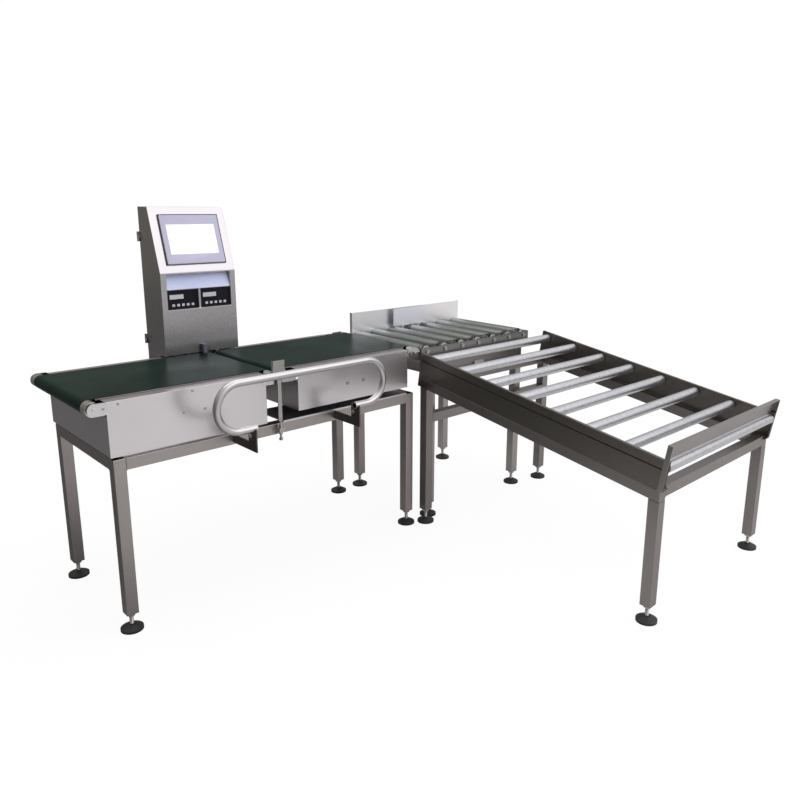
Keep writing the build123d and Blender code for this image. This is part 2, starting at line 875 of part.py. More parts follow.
# Touch panel with its rear housing in the leaning face
with BuildPart() as touch_panel:
    with BuildSketch(lean_plane):
        with Locations((0, touch_middle)):
            RectangleRounded(touch_width, touch_height, touch_corner)
    extrude(amount=touch_thickness)
    chamfer(touch_panel.faces().sort_by(Axis((0, 0, 0), lean_plane.z_dir))[-1].edges(), touch_bevel)
    with BuildSketch(lean_plane):
        with Locations((0, touch_middle)):
            Rectangle(
                touch_width - 2 * touch_lap - 2 * seat_gap, touch_height - 2 * touch_lap - 2 * seat_gap
            )
    extrude(amount=-touch_rear)
    with BuildSketch(lean_plane.offset(touch_thickness - display_recess)):
        with Locations((0, display_start + display_height / 2)):
            Rectangle(display_width, display_height)
    extrude(amount=display_recess, mode=Mode.SUBTRACT)
save(touch_panel, "touch_panel")

with BuildPart() as display_glass:
    with BuildSketch(lean_plane.offset(touch_thickness - display_recess)):
        with Locations((0, display_start + display_height / 2)):
            Rectangle(display_width - 2 * seat_gap, display_height - 2 * seat_gap)
    extrude(amount=display_recess - seat_gap)
save(display_glass, "display_glass")

module_width = (recess_width - module_split) / 2 - 2 * seat_gap
module_centres = [
    console_centre_x + module_side * (module_split / 2 + seat_gap + module_width / 2)
    for module_side in (-1, 1)
]
with BuildPart() as meter_modules:
    for module_x in module_centres:
        block(
            module_x - module_width / 2, module_x + module_width / 2, module_face + sheet,
            recess_floor, recess_bottom, module_top - seat_gap,
        )
        block(
            module_x - module_width / 2 + module_border, module_x + module_width / 2 - module_border,
            module_face + sheet, module_face + 2 * sheet,
            recess_bottom + module_border, module_top - module_border, mode=Mode.SUBTRACT,
        )
        with BuildSketch(Plane.XZ.offset(-(module_face + 2 * sheet))):
            with Locations((module_x, recess_bottom + key_row)):
                with GridLocations(key_pitch, key_pitch, key_count, 1):
                    RectangleRounded(key_size, key_size, key_corner)
            with Locations((module_x - window_share * module_width, recess_bottom + window_row)):
                RectangleRounded(window_width, window_height, key_corner)
        extrude(amount=sheet)
save(meter_modules, "meter_modules")

# Rear door with the lower knuckles of its two hinges
hinge_x = console_left - hinge_radius - seat_gap
hinge_y = console_back + door_clear
door_face = console_back + seat_gap
door_outer = door_face + console_sheet
hinge_zs = (hinge_low, hinge_high)
lock_x = console_right - door_rim - lock_inset
lock_z = (console_bottom + console_top) / 2
with BuildPart() as rear_door:
    block(
        console_left + door_clear, console_right - door_clear, door_face, door_outer,
        console_bottom + door_edge, console_top - door_edge,
    )
    for hinge_z in hinge_zs:
        knuckle_low = hinge_z - hinge_length / 2
        knuckle_high = hinge_z - seat_gap
        upright_cylinder(hinge_x, hinge_y, hinge_radius, knuckle_low, knuckle_high)
        block(
            hinge_x, console_left + 2 * hinge_radius, door_outer, door_outer + hinge_leaf,
            knuckle_low, knuckle_high,
        )
        upright_cylinder(
            hinge_x, hinge_y, hinge_pin_radius + running_fit, knuckle_low, knuckle_high,
            mode=Mode.SUBTRACT,
        )
    cylinder_y(
        lock_x, lock_z, lock_shaft_radius + running_fit, door_face, door_outer, mode=Mode.SUBTRACT
    )
save(rear_door, "rear_door")

# Upper knuckles on the cabinet side, each with its pin
with BuildPart() as door_hinges:
    for hinge_z in hinge_zs:
        knuckle_high = hinge_z + hinge_length / 2
        upright_cylinder(hinge_x, hinge_y, hinge_radius, hinge_z + seat_gap, knuckle_high)
        block(
            console_left - hinge_leaf, console_left, console_back - hinge_length, console_back,
            hinge_z + seat_gap, knuckle_high,
        )
        upright_cylinder(
            hinge_x, hinge_y, hinge_pin_radius, hinge_z - hinge_length / 2, hinge_z + seat_gap
        )
save(door_hinges, "door_hinges")

# Quarter turn lock, open: slotted head, shaft through the door and tongue that turns behind the rim
tongue_back = console_back - console_sheet - seat_gap
with BuildPart() as door_lock:
    cylinder_y(lock_x, lock_z, lock_shaft_radius, tongue_back, door_outer + seat_gap)
    cylinder_y(
        lock_x, lock_z, lock_radius, door_outer + seat_gap, door_outer + seat_gap + lock_height
    )
    block(
        lock_x - lock_shaft_radius, lock_x + lock_shaft_radius, tongue_back - console_sheet,
        tongue_back, lock_z - lock_shaft_radius, lock_z + lock_reach,
    )
    block(
        lock_x - lock_radius, lock_x + lock_radius, door_outer + lock_height,
        door_outer + seat_gap + lock_height, lock_z - lock_slot / 2, lock_z + lock_slot / 2,
        mode=Mode.SUBTRACT,
    )
save(door_lock, "door_lock")

# Mounting plate with control gear behind the rear door
gear_plate_y = console_front + gear_plate_back
gear_middle_z = gear_plate_bottom + gear_plate_height / 2
with BuildPart() as control_gear:
    block(
        console_left + console_sheet, console_right - console_sheet, gear_plate_y,
        gear_plate_y + console_sheet, gear_plate_bottom, gear_plate_bottom + gear_plate_height,
    )
    for gear_index in range(gear_block_count):
        gear_x = console_centre_x + (gear_index - (gear_block_count - 1) / 2) * gear_block_pitch
        block(
            gear_x - gear_block_width / 2, gear_x + gear_block_width / 2,
            gear_plate_y + console_sheet, gear_plate_y + console_sheet + gear_block_depth,
            gear_middle_z - gear_block_height / 2, gear_middle_z + gear_block_height / 2,
        )
    for duct_z in (gear_plate_bottom, gear_plate_bottom + gear_plate_height - duct_height):
        block(
            console_centre_x - recess_half, console_centre_x + recess_half,
            gear_plate_y + console_sheet, gear_plate_y + duct_depth, duct_z, duct_z + duct_height,
        )
save(control_gear, "control_gear")

# Pedestal between the frame and the console, open below, with lugs to the rail
pedestal_left = console_left
pedestal_right = console_right
pedestal_front = frame_half_y + pedestal_clear
pedestal_back = console_back
with BuildPart() as console_pedestal:
    block(
        pedestal_left, pedestal_right, pedestal_front, pedestal_back, pedestal_bottom, console_bottom
    )
    block(
        pedestal_left + sheet, pedestal_right - sheet, pedestal_front + sheet, pedestal_back - sheet,
        pedestal_bottom, console_bottom - sheet, mode=Mode.SUBTRACT,
    )
    for lug_left in (pedestal_left, pedestal_right - lug_length):
        block(
            lug_left, lug_left + lug_length, frame_half_y, pedestal_front, pedestal_bottom,
            scale_rail_top,
        )
save(console_pedestal, "console_pedestal")

# Frame of the powered roller section
reject_rail_z = reject_rail_top - tube / 2
reject_inner = reject_leg_span / 2 - tube / 2 - weld_gap
with BuildPart() as reject_frame:
    for leg_x, leg_y in reject_legs:
        leg(leg_x, leg_y, reject_rail_top)
    for side in (-1, 1):
        rail_x(reject_centre - reject_inner, reject_centre + reject_inner, side * half_y, reject_rail_z)
        rail_y(reject_centre + side * reject_leg_span / 2, -inner_y, inner_y, reject_rail_z)
save(reject_frame, "reject_frame")

# Side angles and end sheets that carry the powered rollers
with BuildPart() as roller_channels:
    for web_y, foot_from, foot_to in (
        (front_face, front_face, front_face + channel_foot),
        (bed_back_face - channel_plate, bed_back_face - channel_plate, frame_half_y),
    ):
        block(
            reject_left, reject_right, web_y, web_y + channel_plate, reject_rail_top, reject_bed_top
        )
        block(
            reject_left, reject_right, foot_from, foot_to, reject_rail_top,
            reject_rail_top + channel_plate,
        )
        for roller_x in reject_roller_xs:
            cylinder_y(
                roller_x, reject_axis_z, axle_radius + seat_gap, web_y, web_y + channel_plate,
                mode=Mode.SUBTRACT,
            )
    for sheet_left in (reject_left, reject_right - channel_plate):
        block(
            sheet_left, sheet_left + channel_plate, front_face, bed_back_face,
            reject_bed_top - end_sheet_height, reject_bed_top,
        )
save(roller_channels, "roller_channels")


def roller_bore(length_from, length_to):
    """Give the ends of the hollow between the two end caps of a roller."""
    return length_from + roller_cap, length_to - roller_cap


# Powered rollers: hollow tubes with end caps and a narrower belt zone at the front
shell_start = roller_front_y + drive_zone + link_spacing
hollow_from, hollow_to = roller_bore(roller_front_y, roller_back_y)
for roller_number, roller_x in enumerate(reject_roller_xs, start=1):
    with BuildPart() as powered_roller:
        cylinder_y(roller_x, reject_axis_z, groove_radius, roller_front_y, shell_start)
        cylinder_y(roller_x, reject_axis_z, reject_roller_radius, shell_start, roller_back_y)
        cylinder_y(
            roller_x, reject_axis_z, groove_radius - roller_wall, hollow_from, hollow_to,
            mode=Mode.SUBTRACT,
        )
        cylinder_y(
            roller_x, reject_axis_z, axle_radius + running_fit, roller_front_y, roller_back_y,
            mode=Mode.SUBTRACT,
        )
    save(powered_roller, f"reject_roller_{roller_number}")

# Gravity rollers across the sloped table
web_left = table_left - tube / 2 + channel_inset
web_right = table_right + tube / 2 - channel_inset
table_roller_left = web_left + channel_sheet + table_end_gap
table_roller_right = web_right - channel_sheet - table_end_gap
table_axes = [
    bed_point(table_roller_first + index * table_roller_pitch, -table_roller_sink)
    for index in range(table_roller_count)
]
hollow_from, hollow_to = roller_bore(table_roller_left, table_roller_right)
for roller_number, (axis_y, axis_z) in enumerate(table_axes, start=1):
    with BuildPart() as gravity_roller:
        cylinder_x(axis_y, axis_z, table_roller_radius, table_roller_left, table_roller_right)
        cylinder_x(
            axis_y, axis_z, table_roller_radius - table_roller_wall, hollow_from, hollow_to,
            mode=Mode.SUBTRACT,
        )
        cylinder_x(
            axis_y, axis_z, axle_radius + running_fit, table_roller_left, table_roller_right,
            mode=Mode.SUBTRACT,
        )
    save(gravity_roller, f"table_roller_{roller_number}")

# Fixed axles of both roller beds
axle_front = front_face - axle_head
axle_back = bed_back_face + axle_head
with BuildPart() as roller_axles:
    for roller_x in reject_roller_xs:
        cylinder_y(roller_x, reject_axis_z, axle_radius, front_face, bed_back_face)
        cylinder_y(roller_x, reject_axis_z, axle_head_radius, axle_front, front_face)
        cylinder_y(roller_x, reject_axis_z, axle_head_radius, bed_back_face, axle_back)
    for axis_y, axis_z in table_axes:
        cylinder_x(
            axis_y, axis_z, axle_radius, web_left - table_axle_proud, web_right + table_axle_proud
        )
save(roller_axles, "roller_axles")

# Backboard behind the powered rollers, with its ends folded back
board_back = bed_back_face - channel_plate
board_front = board_back - sheet
with BuildPart() as backboard:
    board_left = reject_left + channel_plate
    board_right = reject_right - channel_plate
    block(board_left, board_right, board_front, board_back, board_bottom, board_top)
    for return_left in (board_left, board_right - sheet):
        block(
            return_left, return_left + sheet, board_back, board_back + board_edge,
            reject_bed_top, board_top,
        )
save(backboard, "backboard")

# Pusher: plate on two posts that stand between rollers on a sliding carriage
push_post_y = board_front - post_inset
push_plate_back = push_post_y - post_radius + plate_overlap
carriage_top = reject_rail_z + carriage_height / 2
with BuildPart() as pusher_plate:
    block(
        reject_centre - push_plate_width / 2, reject_centre + push_plate_width / 2,
        push_plate_back - channel_plate, push_plate_back, push_plate_bottom, board_top,
    )
    for side in (-1, 1):
        upright_cylinder(
            reject_centre + side * reject_pitch / 2, push_post_y, post_radius, carriage_top,
            board_top - board_edge,
        )
save(pusher_plate, "pusher_plate")

with BuildPart() as pusher_carriage:
    carriage_front = push_post_y - carriage_depth / 2
    carriage_back = push_post_y + carriage_depth / 2
    block(
        reject_centre - carriage_length / 2, reject_centre + carriage_length / 2, carriage_front,
        carriage_back, reject_rail_z - carriage_height / 2, carriage_top,
    )
    for side in (-1, 1):
        cylinder_y(
            reject_centre + side * slide_rod_spacing / 2, reject_rail_z,
            slide_rod_radius + running_fit, carriage_front, carriage_back, mode=Mode.SUBTRACT,
        )
    cylinder_y(
        reject_centre, reject_rail_z, cylinder_radius + running_fit, carriage_front, carriage_back,
        mode=Mode.SUBTRACT,
    )
save(pusher_carriage, "pusher_carriage")

# Guide rods and rodless cylinder between the frame rails
rod_end = half_y - tube / 2
with BuildPart() as pusher_slide:
    for side in (-1, 1):
        cylinder_y(
            reject_centre + side * slide_rod_spacing / 2, reject_rail_z, slide_rod_radius,
            -rod_end, rod_end,
        )
    cylinder_y(reject_centre, reject_rail_z, cylinder_radius, -rod_end, rod_end)
save(pusher_slide, "pusher_slide")

# Frame of the gravity table with legs cut to the slope
slope_tube_top = -channel_height
slope_tube_low = slope_tube_top - tube
leg_cut = slope_tube_low - weld_gap
table_inner_left = table_left + tube / 2 + weld_gap
table_inner_right = table_right - tube / 2 - weld_gap
tube_hollow_end = (
    bed_origin_y - slope_tube_top * sin(slope) - table_front + tube / 2 - tube_wall
) / cos(slope)
with BuildPart() as table_frame:
    for leg_x, leg_y in table_legs:
        leg(leg_x, leg_y, below_bed(leg_y, -leg_cut) + tube / 2)
    slope_block(
        table_left - tube, table_right + tube, -table_bed_length, 2 * table_bed_length, leg_cut, 0,
        mode=Mode.SUBTRACT,
    )
    for tube_x in (table_left, table_right):
        slope_block(
            tube_x - tube / 2, tube_x + tube / 2, 0, table_bed_length + tube, slope_tube_low,
            slope_tube_top,
        )
        slope_block(
            tube_x - tube / 2 + tube_wall, tube_x + tube / 2 - tube_wall, tube_wall, tube_hollow_end,
            slope_tube_low + tube_wall, slope_tube_top - tube_wall, mode=Mode.SUBTRACT,
        )
        block(
            tube_x - tube, tube_x + tube, table_front - 2 * tube, table_front - tube / 2,
            leg_bottom, table_bed_top, mode=Mode.SUBTRACT,
        )
    rail_x(table_inner_left, table_inner_right, table_back, table_cross_z)
    rail_x(table_inner_left, table_inner_right, table_back, back_rail_low + tube / 2)
    rail_x(table_inner_left, table_inner_right, table_front, front_rail_low + tube / 2)
save(table_frame, "table_frame")

# Side channels of the table with a folded top edge, a lower panel and a foot on the tube
channel_length = table_bed_length + stop_depth
panel_top = -(hem_height + groove_height)
with BuildPart() as side_channels:
    for web_x, outward in ((web_left, -1), (web_right, 1)):
        web_from = min(web_x, web_x - outward * channel_sheet)
        fold_x = web_x + outward * hem_proud
        fold_inner = fold_x - outward * channel_sheet
        foot_x = web_x - outward * channel_flange
        slope_block(
            web_from, web_from + channel_sheet, 0, channel_length, -channel_height, 0
        )
        slope_block(
            min(web_x, fold_x), max(web_x, fold_x), 0, channel_length, -channel_sheet, 0
        )
        slope_block(
            min(fold_x, fold_inner), max(fold_x, fold_inner), 0, channel_length, -hem_height, 0
        )
        slope_block(
            min(web_x, foot_x), max(web_x, foot_x), 0, channel_length, -channel_height,
            channel_sheet - channel_height,
        )
        panel_x = web_x + outward * panel_proud
        panel_inner = panel_x - outward * channel_sheet
        slope_block(
            min(panel_x, panel_inner), max(panel_x, panel_inner), 0, channel_length,
            -channel_height, panel_top,
        )
        slope_block(
            min(web_x, panel_x), max(web_x, panel_x), 0, channel_length,
            panel_top - channel_sheet, panel_top,
        )
        for axis_y, axis_z in table_axes:
            cylinder_x(
                axis_y, axis_z, axle_radius + seat_gap, web_from - seat_gap,
                web_from + channel_sheet + seat_gap, mode=Mode.SUBTRACT,
            )
save(side_channels, "side_channels")

# End stop across the low end, folded outward at the top and lapped over the channel ends
stop_left = web_left - hem_proud - sheet
stop_right = web_right + hem_proud + sheet
with BuildPart() as end_stop:
    slope_block(
        stop_left, stop_right, table_bed_length, table_bed_length + sheet, 0, stop_above
    )
    slope_block(
        stop_left, stop_right, table_bed_length, channel_length, stop_above - sheet, stop_above
    )
    for fold_left in (stop_left, stop_right - sheet):
        slope_block(
            fold_left, fold_left + sheet, table_bed_length, channel_length, -channel_height,
            stop_above,
        )
save(end_stop, "end_stop")

# Screws and bolts on the casings, the end plates and the guard arms
with BuildPart() as fasteners:
    for screw_x, screw_z in panel_screws:
        cylinder_y(screw_x, screw_z, screw_radius, front_face - screw_height, front_face)
    for screw_x, screw_z in panel_bolts:
        cylinder_y(screw_x, screw_z, bolt_radius, front_face - bolt_height, front_face)
    for roller_x, inward in (
        (infeed_tail_x, 1),
        (infeed_head_x, -1),
        (weigh_left_x, 1),
        (weigh_right_x, -1),
    ):
        screw_x = roller_x + inward * end_plate_centres
        for face_y in (front_face - plate, frame_half_y + plate + screw_height):
            cylinder_y(screw_x, belt_axis_z, screw_radius, face_y - screw_height, face_y)
    for bracket_side in (-1, 1):
        bolt_face = bracket_side * bracket_x - plate / 2
        cylinder_x(
            guard_y + bracket_bolt_back, guard_low - bracket_bolt_drop, bolt_radius,
            bolt_face - bolt_height, bolt_face,
        )
save(fasteners, "fasteners")
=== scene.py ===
"""Dressed model of a belt checkweigher line with a powered roller section and a gravity table."""

import logging
import math
from dataclasses import dataclass
from enum import Enum
from typing import Sequence

import bpy
from mathutils import Matrix, Vector

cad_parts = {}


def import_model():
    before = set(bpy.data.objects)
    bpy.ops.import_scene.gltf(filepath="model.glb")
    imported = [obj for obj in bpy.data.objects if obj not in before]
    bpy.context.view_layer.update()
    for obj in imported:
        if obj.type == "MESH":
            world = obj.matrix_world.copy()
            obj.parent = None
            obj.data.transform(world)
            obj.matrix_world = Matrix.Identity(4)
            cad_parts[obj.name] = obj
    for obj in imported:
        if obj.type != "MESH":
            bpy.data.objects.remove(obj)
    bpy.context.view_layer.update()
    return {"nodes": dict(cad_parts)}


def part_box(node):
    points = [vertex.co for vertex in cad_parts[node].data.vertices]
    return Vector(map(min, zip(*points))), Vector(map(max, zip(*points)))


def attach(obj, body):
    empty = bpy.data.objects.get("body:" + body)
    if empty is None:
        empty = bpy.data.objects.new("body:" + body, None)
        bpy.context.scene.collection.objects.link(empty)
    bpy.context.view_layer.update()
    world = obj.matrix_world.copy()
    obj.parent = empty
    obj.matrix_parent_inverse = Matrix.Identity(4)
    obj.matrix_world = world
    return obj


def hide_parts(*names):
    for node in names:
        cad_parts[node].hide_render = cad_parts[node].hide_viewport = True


LOG = logging.getLogger("checkweigher")
Color = tuple[float, float, float]
Point = tuple[float, float, float]


class Grain(Enum):
    """Direction in which a brushed finish runs, as the axis with the long streaks."""

    ALONG_X = (0.03, 1.0, 1.0)
    ALONG_Y = (1.0, 0.03, 1.0)
    ALONG_Z = (1.0, 1.0, 0.03)
    NONE = (1.0, 1.0, 1.0)


@dataclass(frozen=True)
class SteelFinish:
    """A brushed, ground or polished metal."""

    name: str
    base: Color
    dark: Color
    roughness: float
    grain: Grain = Grain.ALONG_X
    streak_scale: float = 900.0
    streak_depth: float = 0.10
    cloud_scale: float = 3.0
    cloud_depth: float = 0.25
    bump: float = 0.05
    # Painted reflection on the front faces, as shares of the tone by height, and painted shade on the side
    # faces, as one share.
    painted_reflection_bands: tuple[tuple[float, float], ...] = ()
    painted_side_shade: float = 1.0


@dataclass(frozen=True)
class MouldedFinish:
    """A plastic, rubber or painted surface with fine texture."""

    name: str
    base: Color
    dark: Color
    roughness: float
    speck_scale: float = 700.0
    cloud_scale: float = 4.0
    bump: float = 0.04
    coat: float = 0.0
    glow: float = 0.0
    specular: float = 0.5


def new_group(name: str, inputs: Sequence[tuple], outputs: Sequence[tuple]) -> bpy.types.NodeTree:
    """Make an empty shader node group with named sockets.

    Args:
        name: Name of the group.
        inputs: Triples of socket name, socket type and default value.
        outputs: Pairs of socket name and socket type.

    Returns:
        The new group with its input and output nodes.
    """
    tree = bpy.data.node_groups.new(name, "ShaderNodeTree")
    for label, kind, value in inputs:
        socket = tree.interface.new_socket(label, in_out="INPUT", socket_type=kind)
        socket.default_value = value
    for label, kind in outputs:
        tree.interface.new_socket(label, in_out="OUTPUT", socket_type=kind)
    tree.nodes.new("NodeGroupInput").name = "in"
    tree.nodes.new("NodeGroupOutput").name = "out"
    return tree


class Effects:
    """The shader node groups that the finishes share."""

    def __init__(self) -> None:
        """Build each group once."""
        self.streaks = self._streaks()
        self.clouds = self._clouds()
        self.edges = self._edges()

    @staticmethod
    def _streaks() -> bpy.types.NodeTree:
        """Build long fine scratches, as from a grinding belt."""
        tree = new_group(
            "ground streaks",
            [("Scale", "NodeSocketFloat", 900.0), ("Direction", "NodeSocketVector", (1.0, 1.0, 1.0))],
            [("Value", "NodeSocketFloat")],
        )
        nodes, links = tree.nodes, tree.links
        coord = nodes.new("ShaderNodeTexCoord")
        stretch = nodes.new("ShaderNodeVectorMath")
        stretch.operation = "MULTIPLY"
        noise = nodes.new("ShaderNodeTexNoise")
        noise.inputs["Detail"].default_value = 4.0
        noise.inputs["Roughness"].default_value = 0.7
        links.new(coord.outputs["Object"], stretch.inputs[0])
        links.new(nodes["in"].outputs["Direction"], stretch.inputs[1])
        links.new(stretch.outputs[0], noise.inputs["Vector"])
        links.new(nodes["in"].outputs["Scale"], noise.inputs["Scale"])
        links.new(noise.outputs["Fac"], nodes["out"].inputs["Value"])
        return tree

    @staticmethod
    def _clouds() -> bpy.types.NodeTree:
        """Build broad soft patches, as from handling and rolling."""
        tree = new_group(
            "soft clouds",
            [("Scale", "NodeSocketFloat", 3.0)],
            [("Value", "NodeSocketFloat")],
        )
        nodes, links = tree.nodes, tree.links
        coord = nodes.new("ShaderNodeTexCoord")
        noise = nodes.new("ShaderNodeTexNoise")
        noise.inputs["Detail"].default_value = 2.0
        noise.inputs["Distortion"].default_value = 0.6
        ramp = nodes.new("ShaderNodeMapRange")
        ramp.inputs["From Min"].default_value = 0.3
        ramp.inputs["From Max"].default_value = 0.7
        links.new(coord.outputs["Object"], noise.inputs["Vector"])
        links.new(nodes["in"].outputs["Scale"], noise.inputs["Scale"])
        links.new(noise.outputs["Fac"], ramp.inputs["Value"])
        links.new(ramp.outputs["Result"], nodes["out"].inputs["Value"])
        return tree

    @staticmethod
    def _edges() -> bpy.types.NodeTree:
        """Build a mask of the outer edges, from the angle to a rounded normal, for painted highlights along
        them.
        """
        tree = new_group(
            "edge mask",
            [("Radius", "NodeSocketFloat", 0.0015)],
            [("Value", "NodeSocketFloat")],
        )
        nodes, links = tree.nodes, tree.links
        bevel = nodes.new("ShaderNodeBevel")
        bevel.samples = 4
        geometry = nodes.new("ShaderNodeNewGeometry")
        dot = nodes.new("ShaderNodeVectorMath")
        dot.operation = "DOT_PRODUCT"
        ramp = nodes.new("ShaderNodeMapRange")
        ramp.inputs["From Min"].default_value = 0.99
        ramp.inputs["From Max"].default_value = 0.80
        links.new(nodes["in"].outputs["Radius"], bevel.inputs["Radius"])
        links.new(bevel.outputs["Normal"], dot.inputs[0])
        links.new(geometry.outputs["Normal"], dot.inputs[1])
        links.new(dot.outputs["Value"], ramp.inputs["Value"])
        links.new(ramp.outputs["Result"], nodes["out"].inputs["Value"])
        return tree


class Paintbox:
    """Makes each finish into a material and keeps it for reuse."""

    def __init__(self, effects: Effects) -> None:
        """Keep the shared effects.

        Args:
            effects: The shader node groups.
        """
        self.effects = effects
        self.made: dict[str, bpy.types.Material] = {}

    def _start(self, name: str) -> tuple:
        """Make a material with its shader.

        Args:
            name: Name of the material.

        Returns:
            The material, its nodes, its links and the Principled shader.
        """
        material = bpy.data.materials.new(name)
        material.use_nodes = True
        nodes, links = material.node_tree.nodes, material.node_tree.links
        nodes.clear()
        output = nodes.new("ShaderNodeOutputMaterial")
        shader = nodes.new("ShaderNodeBsdfPrincipled")
        links.new(shader.outputs["BSDF"], output.inputs["Surface"])
        self.made[name] = material
        return material, nodes, links, shader

    @staticmethod
    def _place(nodes: bpy.types.Nodes, tree: bpy.types.NodeTree, **values: object) -> bpy.types.Node:
        """Place a group in a material.

        Args:
            nodes: The nodes of the material.
            tree: The group.
            values: Input values by socket name.

        Returns:
            The group node.
        """
        node = nodes.new("ShaderNodeGroup")
        node.node_tree = tree
        for label, value in values.items():
            node.inputs[label].default_value = value
        return node

    @staticmethod
    def _mix(
        nodes: bpy.types.Nodes, links: bpy.types.NodeLinks, factor: object, a: object, b: object
    ) -> object:
        """Mix two colours.

        Args:
            nodes: The nodes of the material.
            links: The links of the material.
            factor: Socket or number that picks between them.
            a: First colour or socket.
            b: Second colour or socket.

        Returns:
            The socket with the mixed colour.
        """
        mix = nodes.new("ShaderNodeMix")
        mix.data_type = "RGBA"
        for index, value in ((0, factor), (6, a), (7, b)):
            if isinstance(value, bpy.types.NodeSocket):
                links.new(value, mix.inputs[index])
            elif index == 0:
                mix.inputs[index].default_value = value
            else:
                mix.inputs[index].default_value = (*value, 1.0)
        return mix.outputs[2]

    @staticmethod
    def _scale(
        nodes: bpy.types.Nodes, links: bpy.types.NodeLinks, value: object, low: float, high: float
    ) -> object:
        """Map a value from 0..1 to a range.

        Args:
            nodes: The nodes of the material.
            links: The links of the material.
            value: The socket to map.
            low: Result at 0.
            high: Result at 1.

        Returns:
            The socket with the mapped value.
        """
        ramp = nodes.new("ShaderNodeMapRange")
        ramp.inputs["To Min"].default_value = low
        ramp.inputs["To Max"].default_value = high
        links.new(value, ramp.inputs["Value"])
        return ramp.outputs["Result"]

    def steel(self, finish: SteelFinish) -> bpy.types.Material:
        """Make a metal finish.

        Args:
            finish: Its colours and grain.

        Returns:
            The material.
        """
        if finish.name in self.made:
            return self.made[finish.name]
        material, nodes, links, shader = self._start(finish.name)
        shader.inputs["Metallic"].default_value = 1.0
        streaks = self._place(
            nodes, self.effects.streaks, Scale=finish.streak_scale, Direction=finish.grain.value
        )
        clouds = self._place(nodes, self.effects.clouds, Scale=finish.cloud_scale)
        edges = self._place(nodes, self.effects.edges)
        streak_share = self._scale(
            nodes, links, streaks.outputs["Value"], -finish.streak_depth, finish.streak_depth
        )
        cloud_share = self._scale(nodes, links, clouds.outputs["Value"], 0.0, finish.cloud_depth)
        total = nodes.new("ShaderNodeMath")
        total.operation = "ADD"
        total.use_clamp = True
        links.new(streak_share, total.inputs[0])
        links.new(cloud_share, total.inputs[1])
        tone = self._mix(nodes, links, total.outputs[0], finish.base, finish.dark)
        # Painted highlight: the outer edges lighten to 1.35 times the base colour.
        bright = tuple(min(1.0, channel * 1.35) for channel in finish.base)
        tone = self._mix(nodes, links, edges.outputs["Value"], tone, bright)
        # Painted reflection and painted shade, where the finish has them.
        if finish.painted_reflection_bands:
            tone = self._paint_reflection_and_shade(nodes, links, tone, finish)
        links.new(tone, shader.inputs["Base Color"])
        rough = self._scale(
            nodes, links, streaks.outputs["Value"], finish.roughness * 0.8, finish.roughness * 1.2
        )
        links.new(rough, shader.inputs["Roughness"])
        if finish.bump > 0.0:
            bump = nodes.new("ShaderNodeBump")
            bump.inputs["Strength"].default_value = finish.bump
            bump.inputs["Distance"].default_value = 0.0003
            links.new(streaks.outputs["Value"], bump.inputs["Height"])
            links.new(bump.outputs["Normal"], shader.inputs["Normal"])
        return material

    def _paint_reflection_and_shade(
        self, nodes: bpy.types.Nodes, links: bpy.types.NodeLinks, tone: object, finish: SteelFinish
    ) -> object:
        """Paint a reflection graded by height on the front, and shade by a fixed share on the sides, into a
        tone.

        Args:
            nodes: The nodes of the material.
            links: The links of the material.
            tone: The socket with the colour.
            finish: The finish with its painted reflection bands and painted side shade.

        Returns:
            The socket with the colour that holds the painted reflection and shade.
        """
        coord = nodes.new("ShaderNodeTexCoord")
        split = nodes.new("ShaderNodeSeparateXYZ")
        links.new(coord.outputs["Object"], split.inputs[0])
        low, high = finish.painted_reflection_bands[0][0], finish.painted_reflection_bands[-1][0]
        # Painted reflection on the front: a share of the tone by height, from the bands.
        height = nodes.new("ShaderNodeMapRange")
        height.inputs["From Min"].default_value = low
        height.inputs["From Max"].default_value = high
        links.new(split.outputs["Z"], height.inputs["Value"])
        ramp = nodes.new("ShaderNodeValToRGB")
        stops = ramp.color_ramp.elements
        while len(stops) < len(finish.painted_reflection_bands):
            stops.new(0.5)
        for stop, (place, share) in zip(stops, finish.painted_reflection_bands):
            stop.position = (place - low) / (high - low)
            stop.color = (share, share, share, 1.0)
        links.new(height.outputs["Result"], ramp.inputs[0])
        turn = nodes.new("ShaderNodeSeparateXYZ")
        links.new(coord.outputs["Normal"], turn.inputs[0])
        front = nodes.new("ShaderNodeMapRange")
        front.inputs["From Min"].default_value = -0.4
        front.inputs["From Max"].default_value = -0.7
        links.new(turn.outputs["Y"], front.inputs["Value"])
        front_painted_reflection = self._mix(
            nodes, links, front.outputs["Result"], (1.0, 1.0, 1.0), ramp.outputs["Color"]
        )
        flat = nodes.new("ShaderNodeMath")
        flat.operation = "ABSOLUTE"
        links.new(turn.outputs["X"], flat.inputs[0])
        # Painted shade on faces that point to either side: one fixed share of the tone.
        side = nodes.new("ShaderNodeMapRange")
        side.inputs["From Min"].default_value = 0.6
        side.inputs["From Max"].default_value = 0.8
        links.new(flat.outputs[0], side.inputs["Value"])
        share = self._mix(
            nodes, links, side.outputs["Result"], front_painted_reflection, (finish.painted_side_shade,) * 3
        )
        product = nodes.new("ShaderNodeMix")
        product.data_type = "RGBA"
        product.blend_type = "MULTIPLY"
        product.inputs[0].default_value = 1.0
        links.new(tone, product.inputs[6])
        links.new(share, product.inputs[7])
        return product.outputs[2]

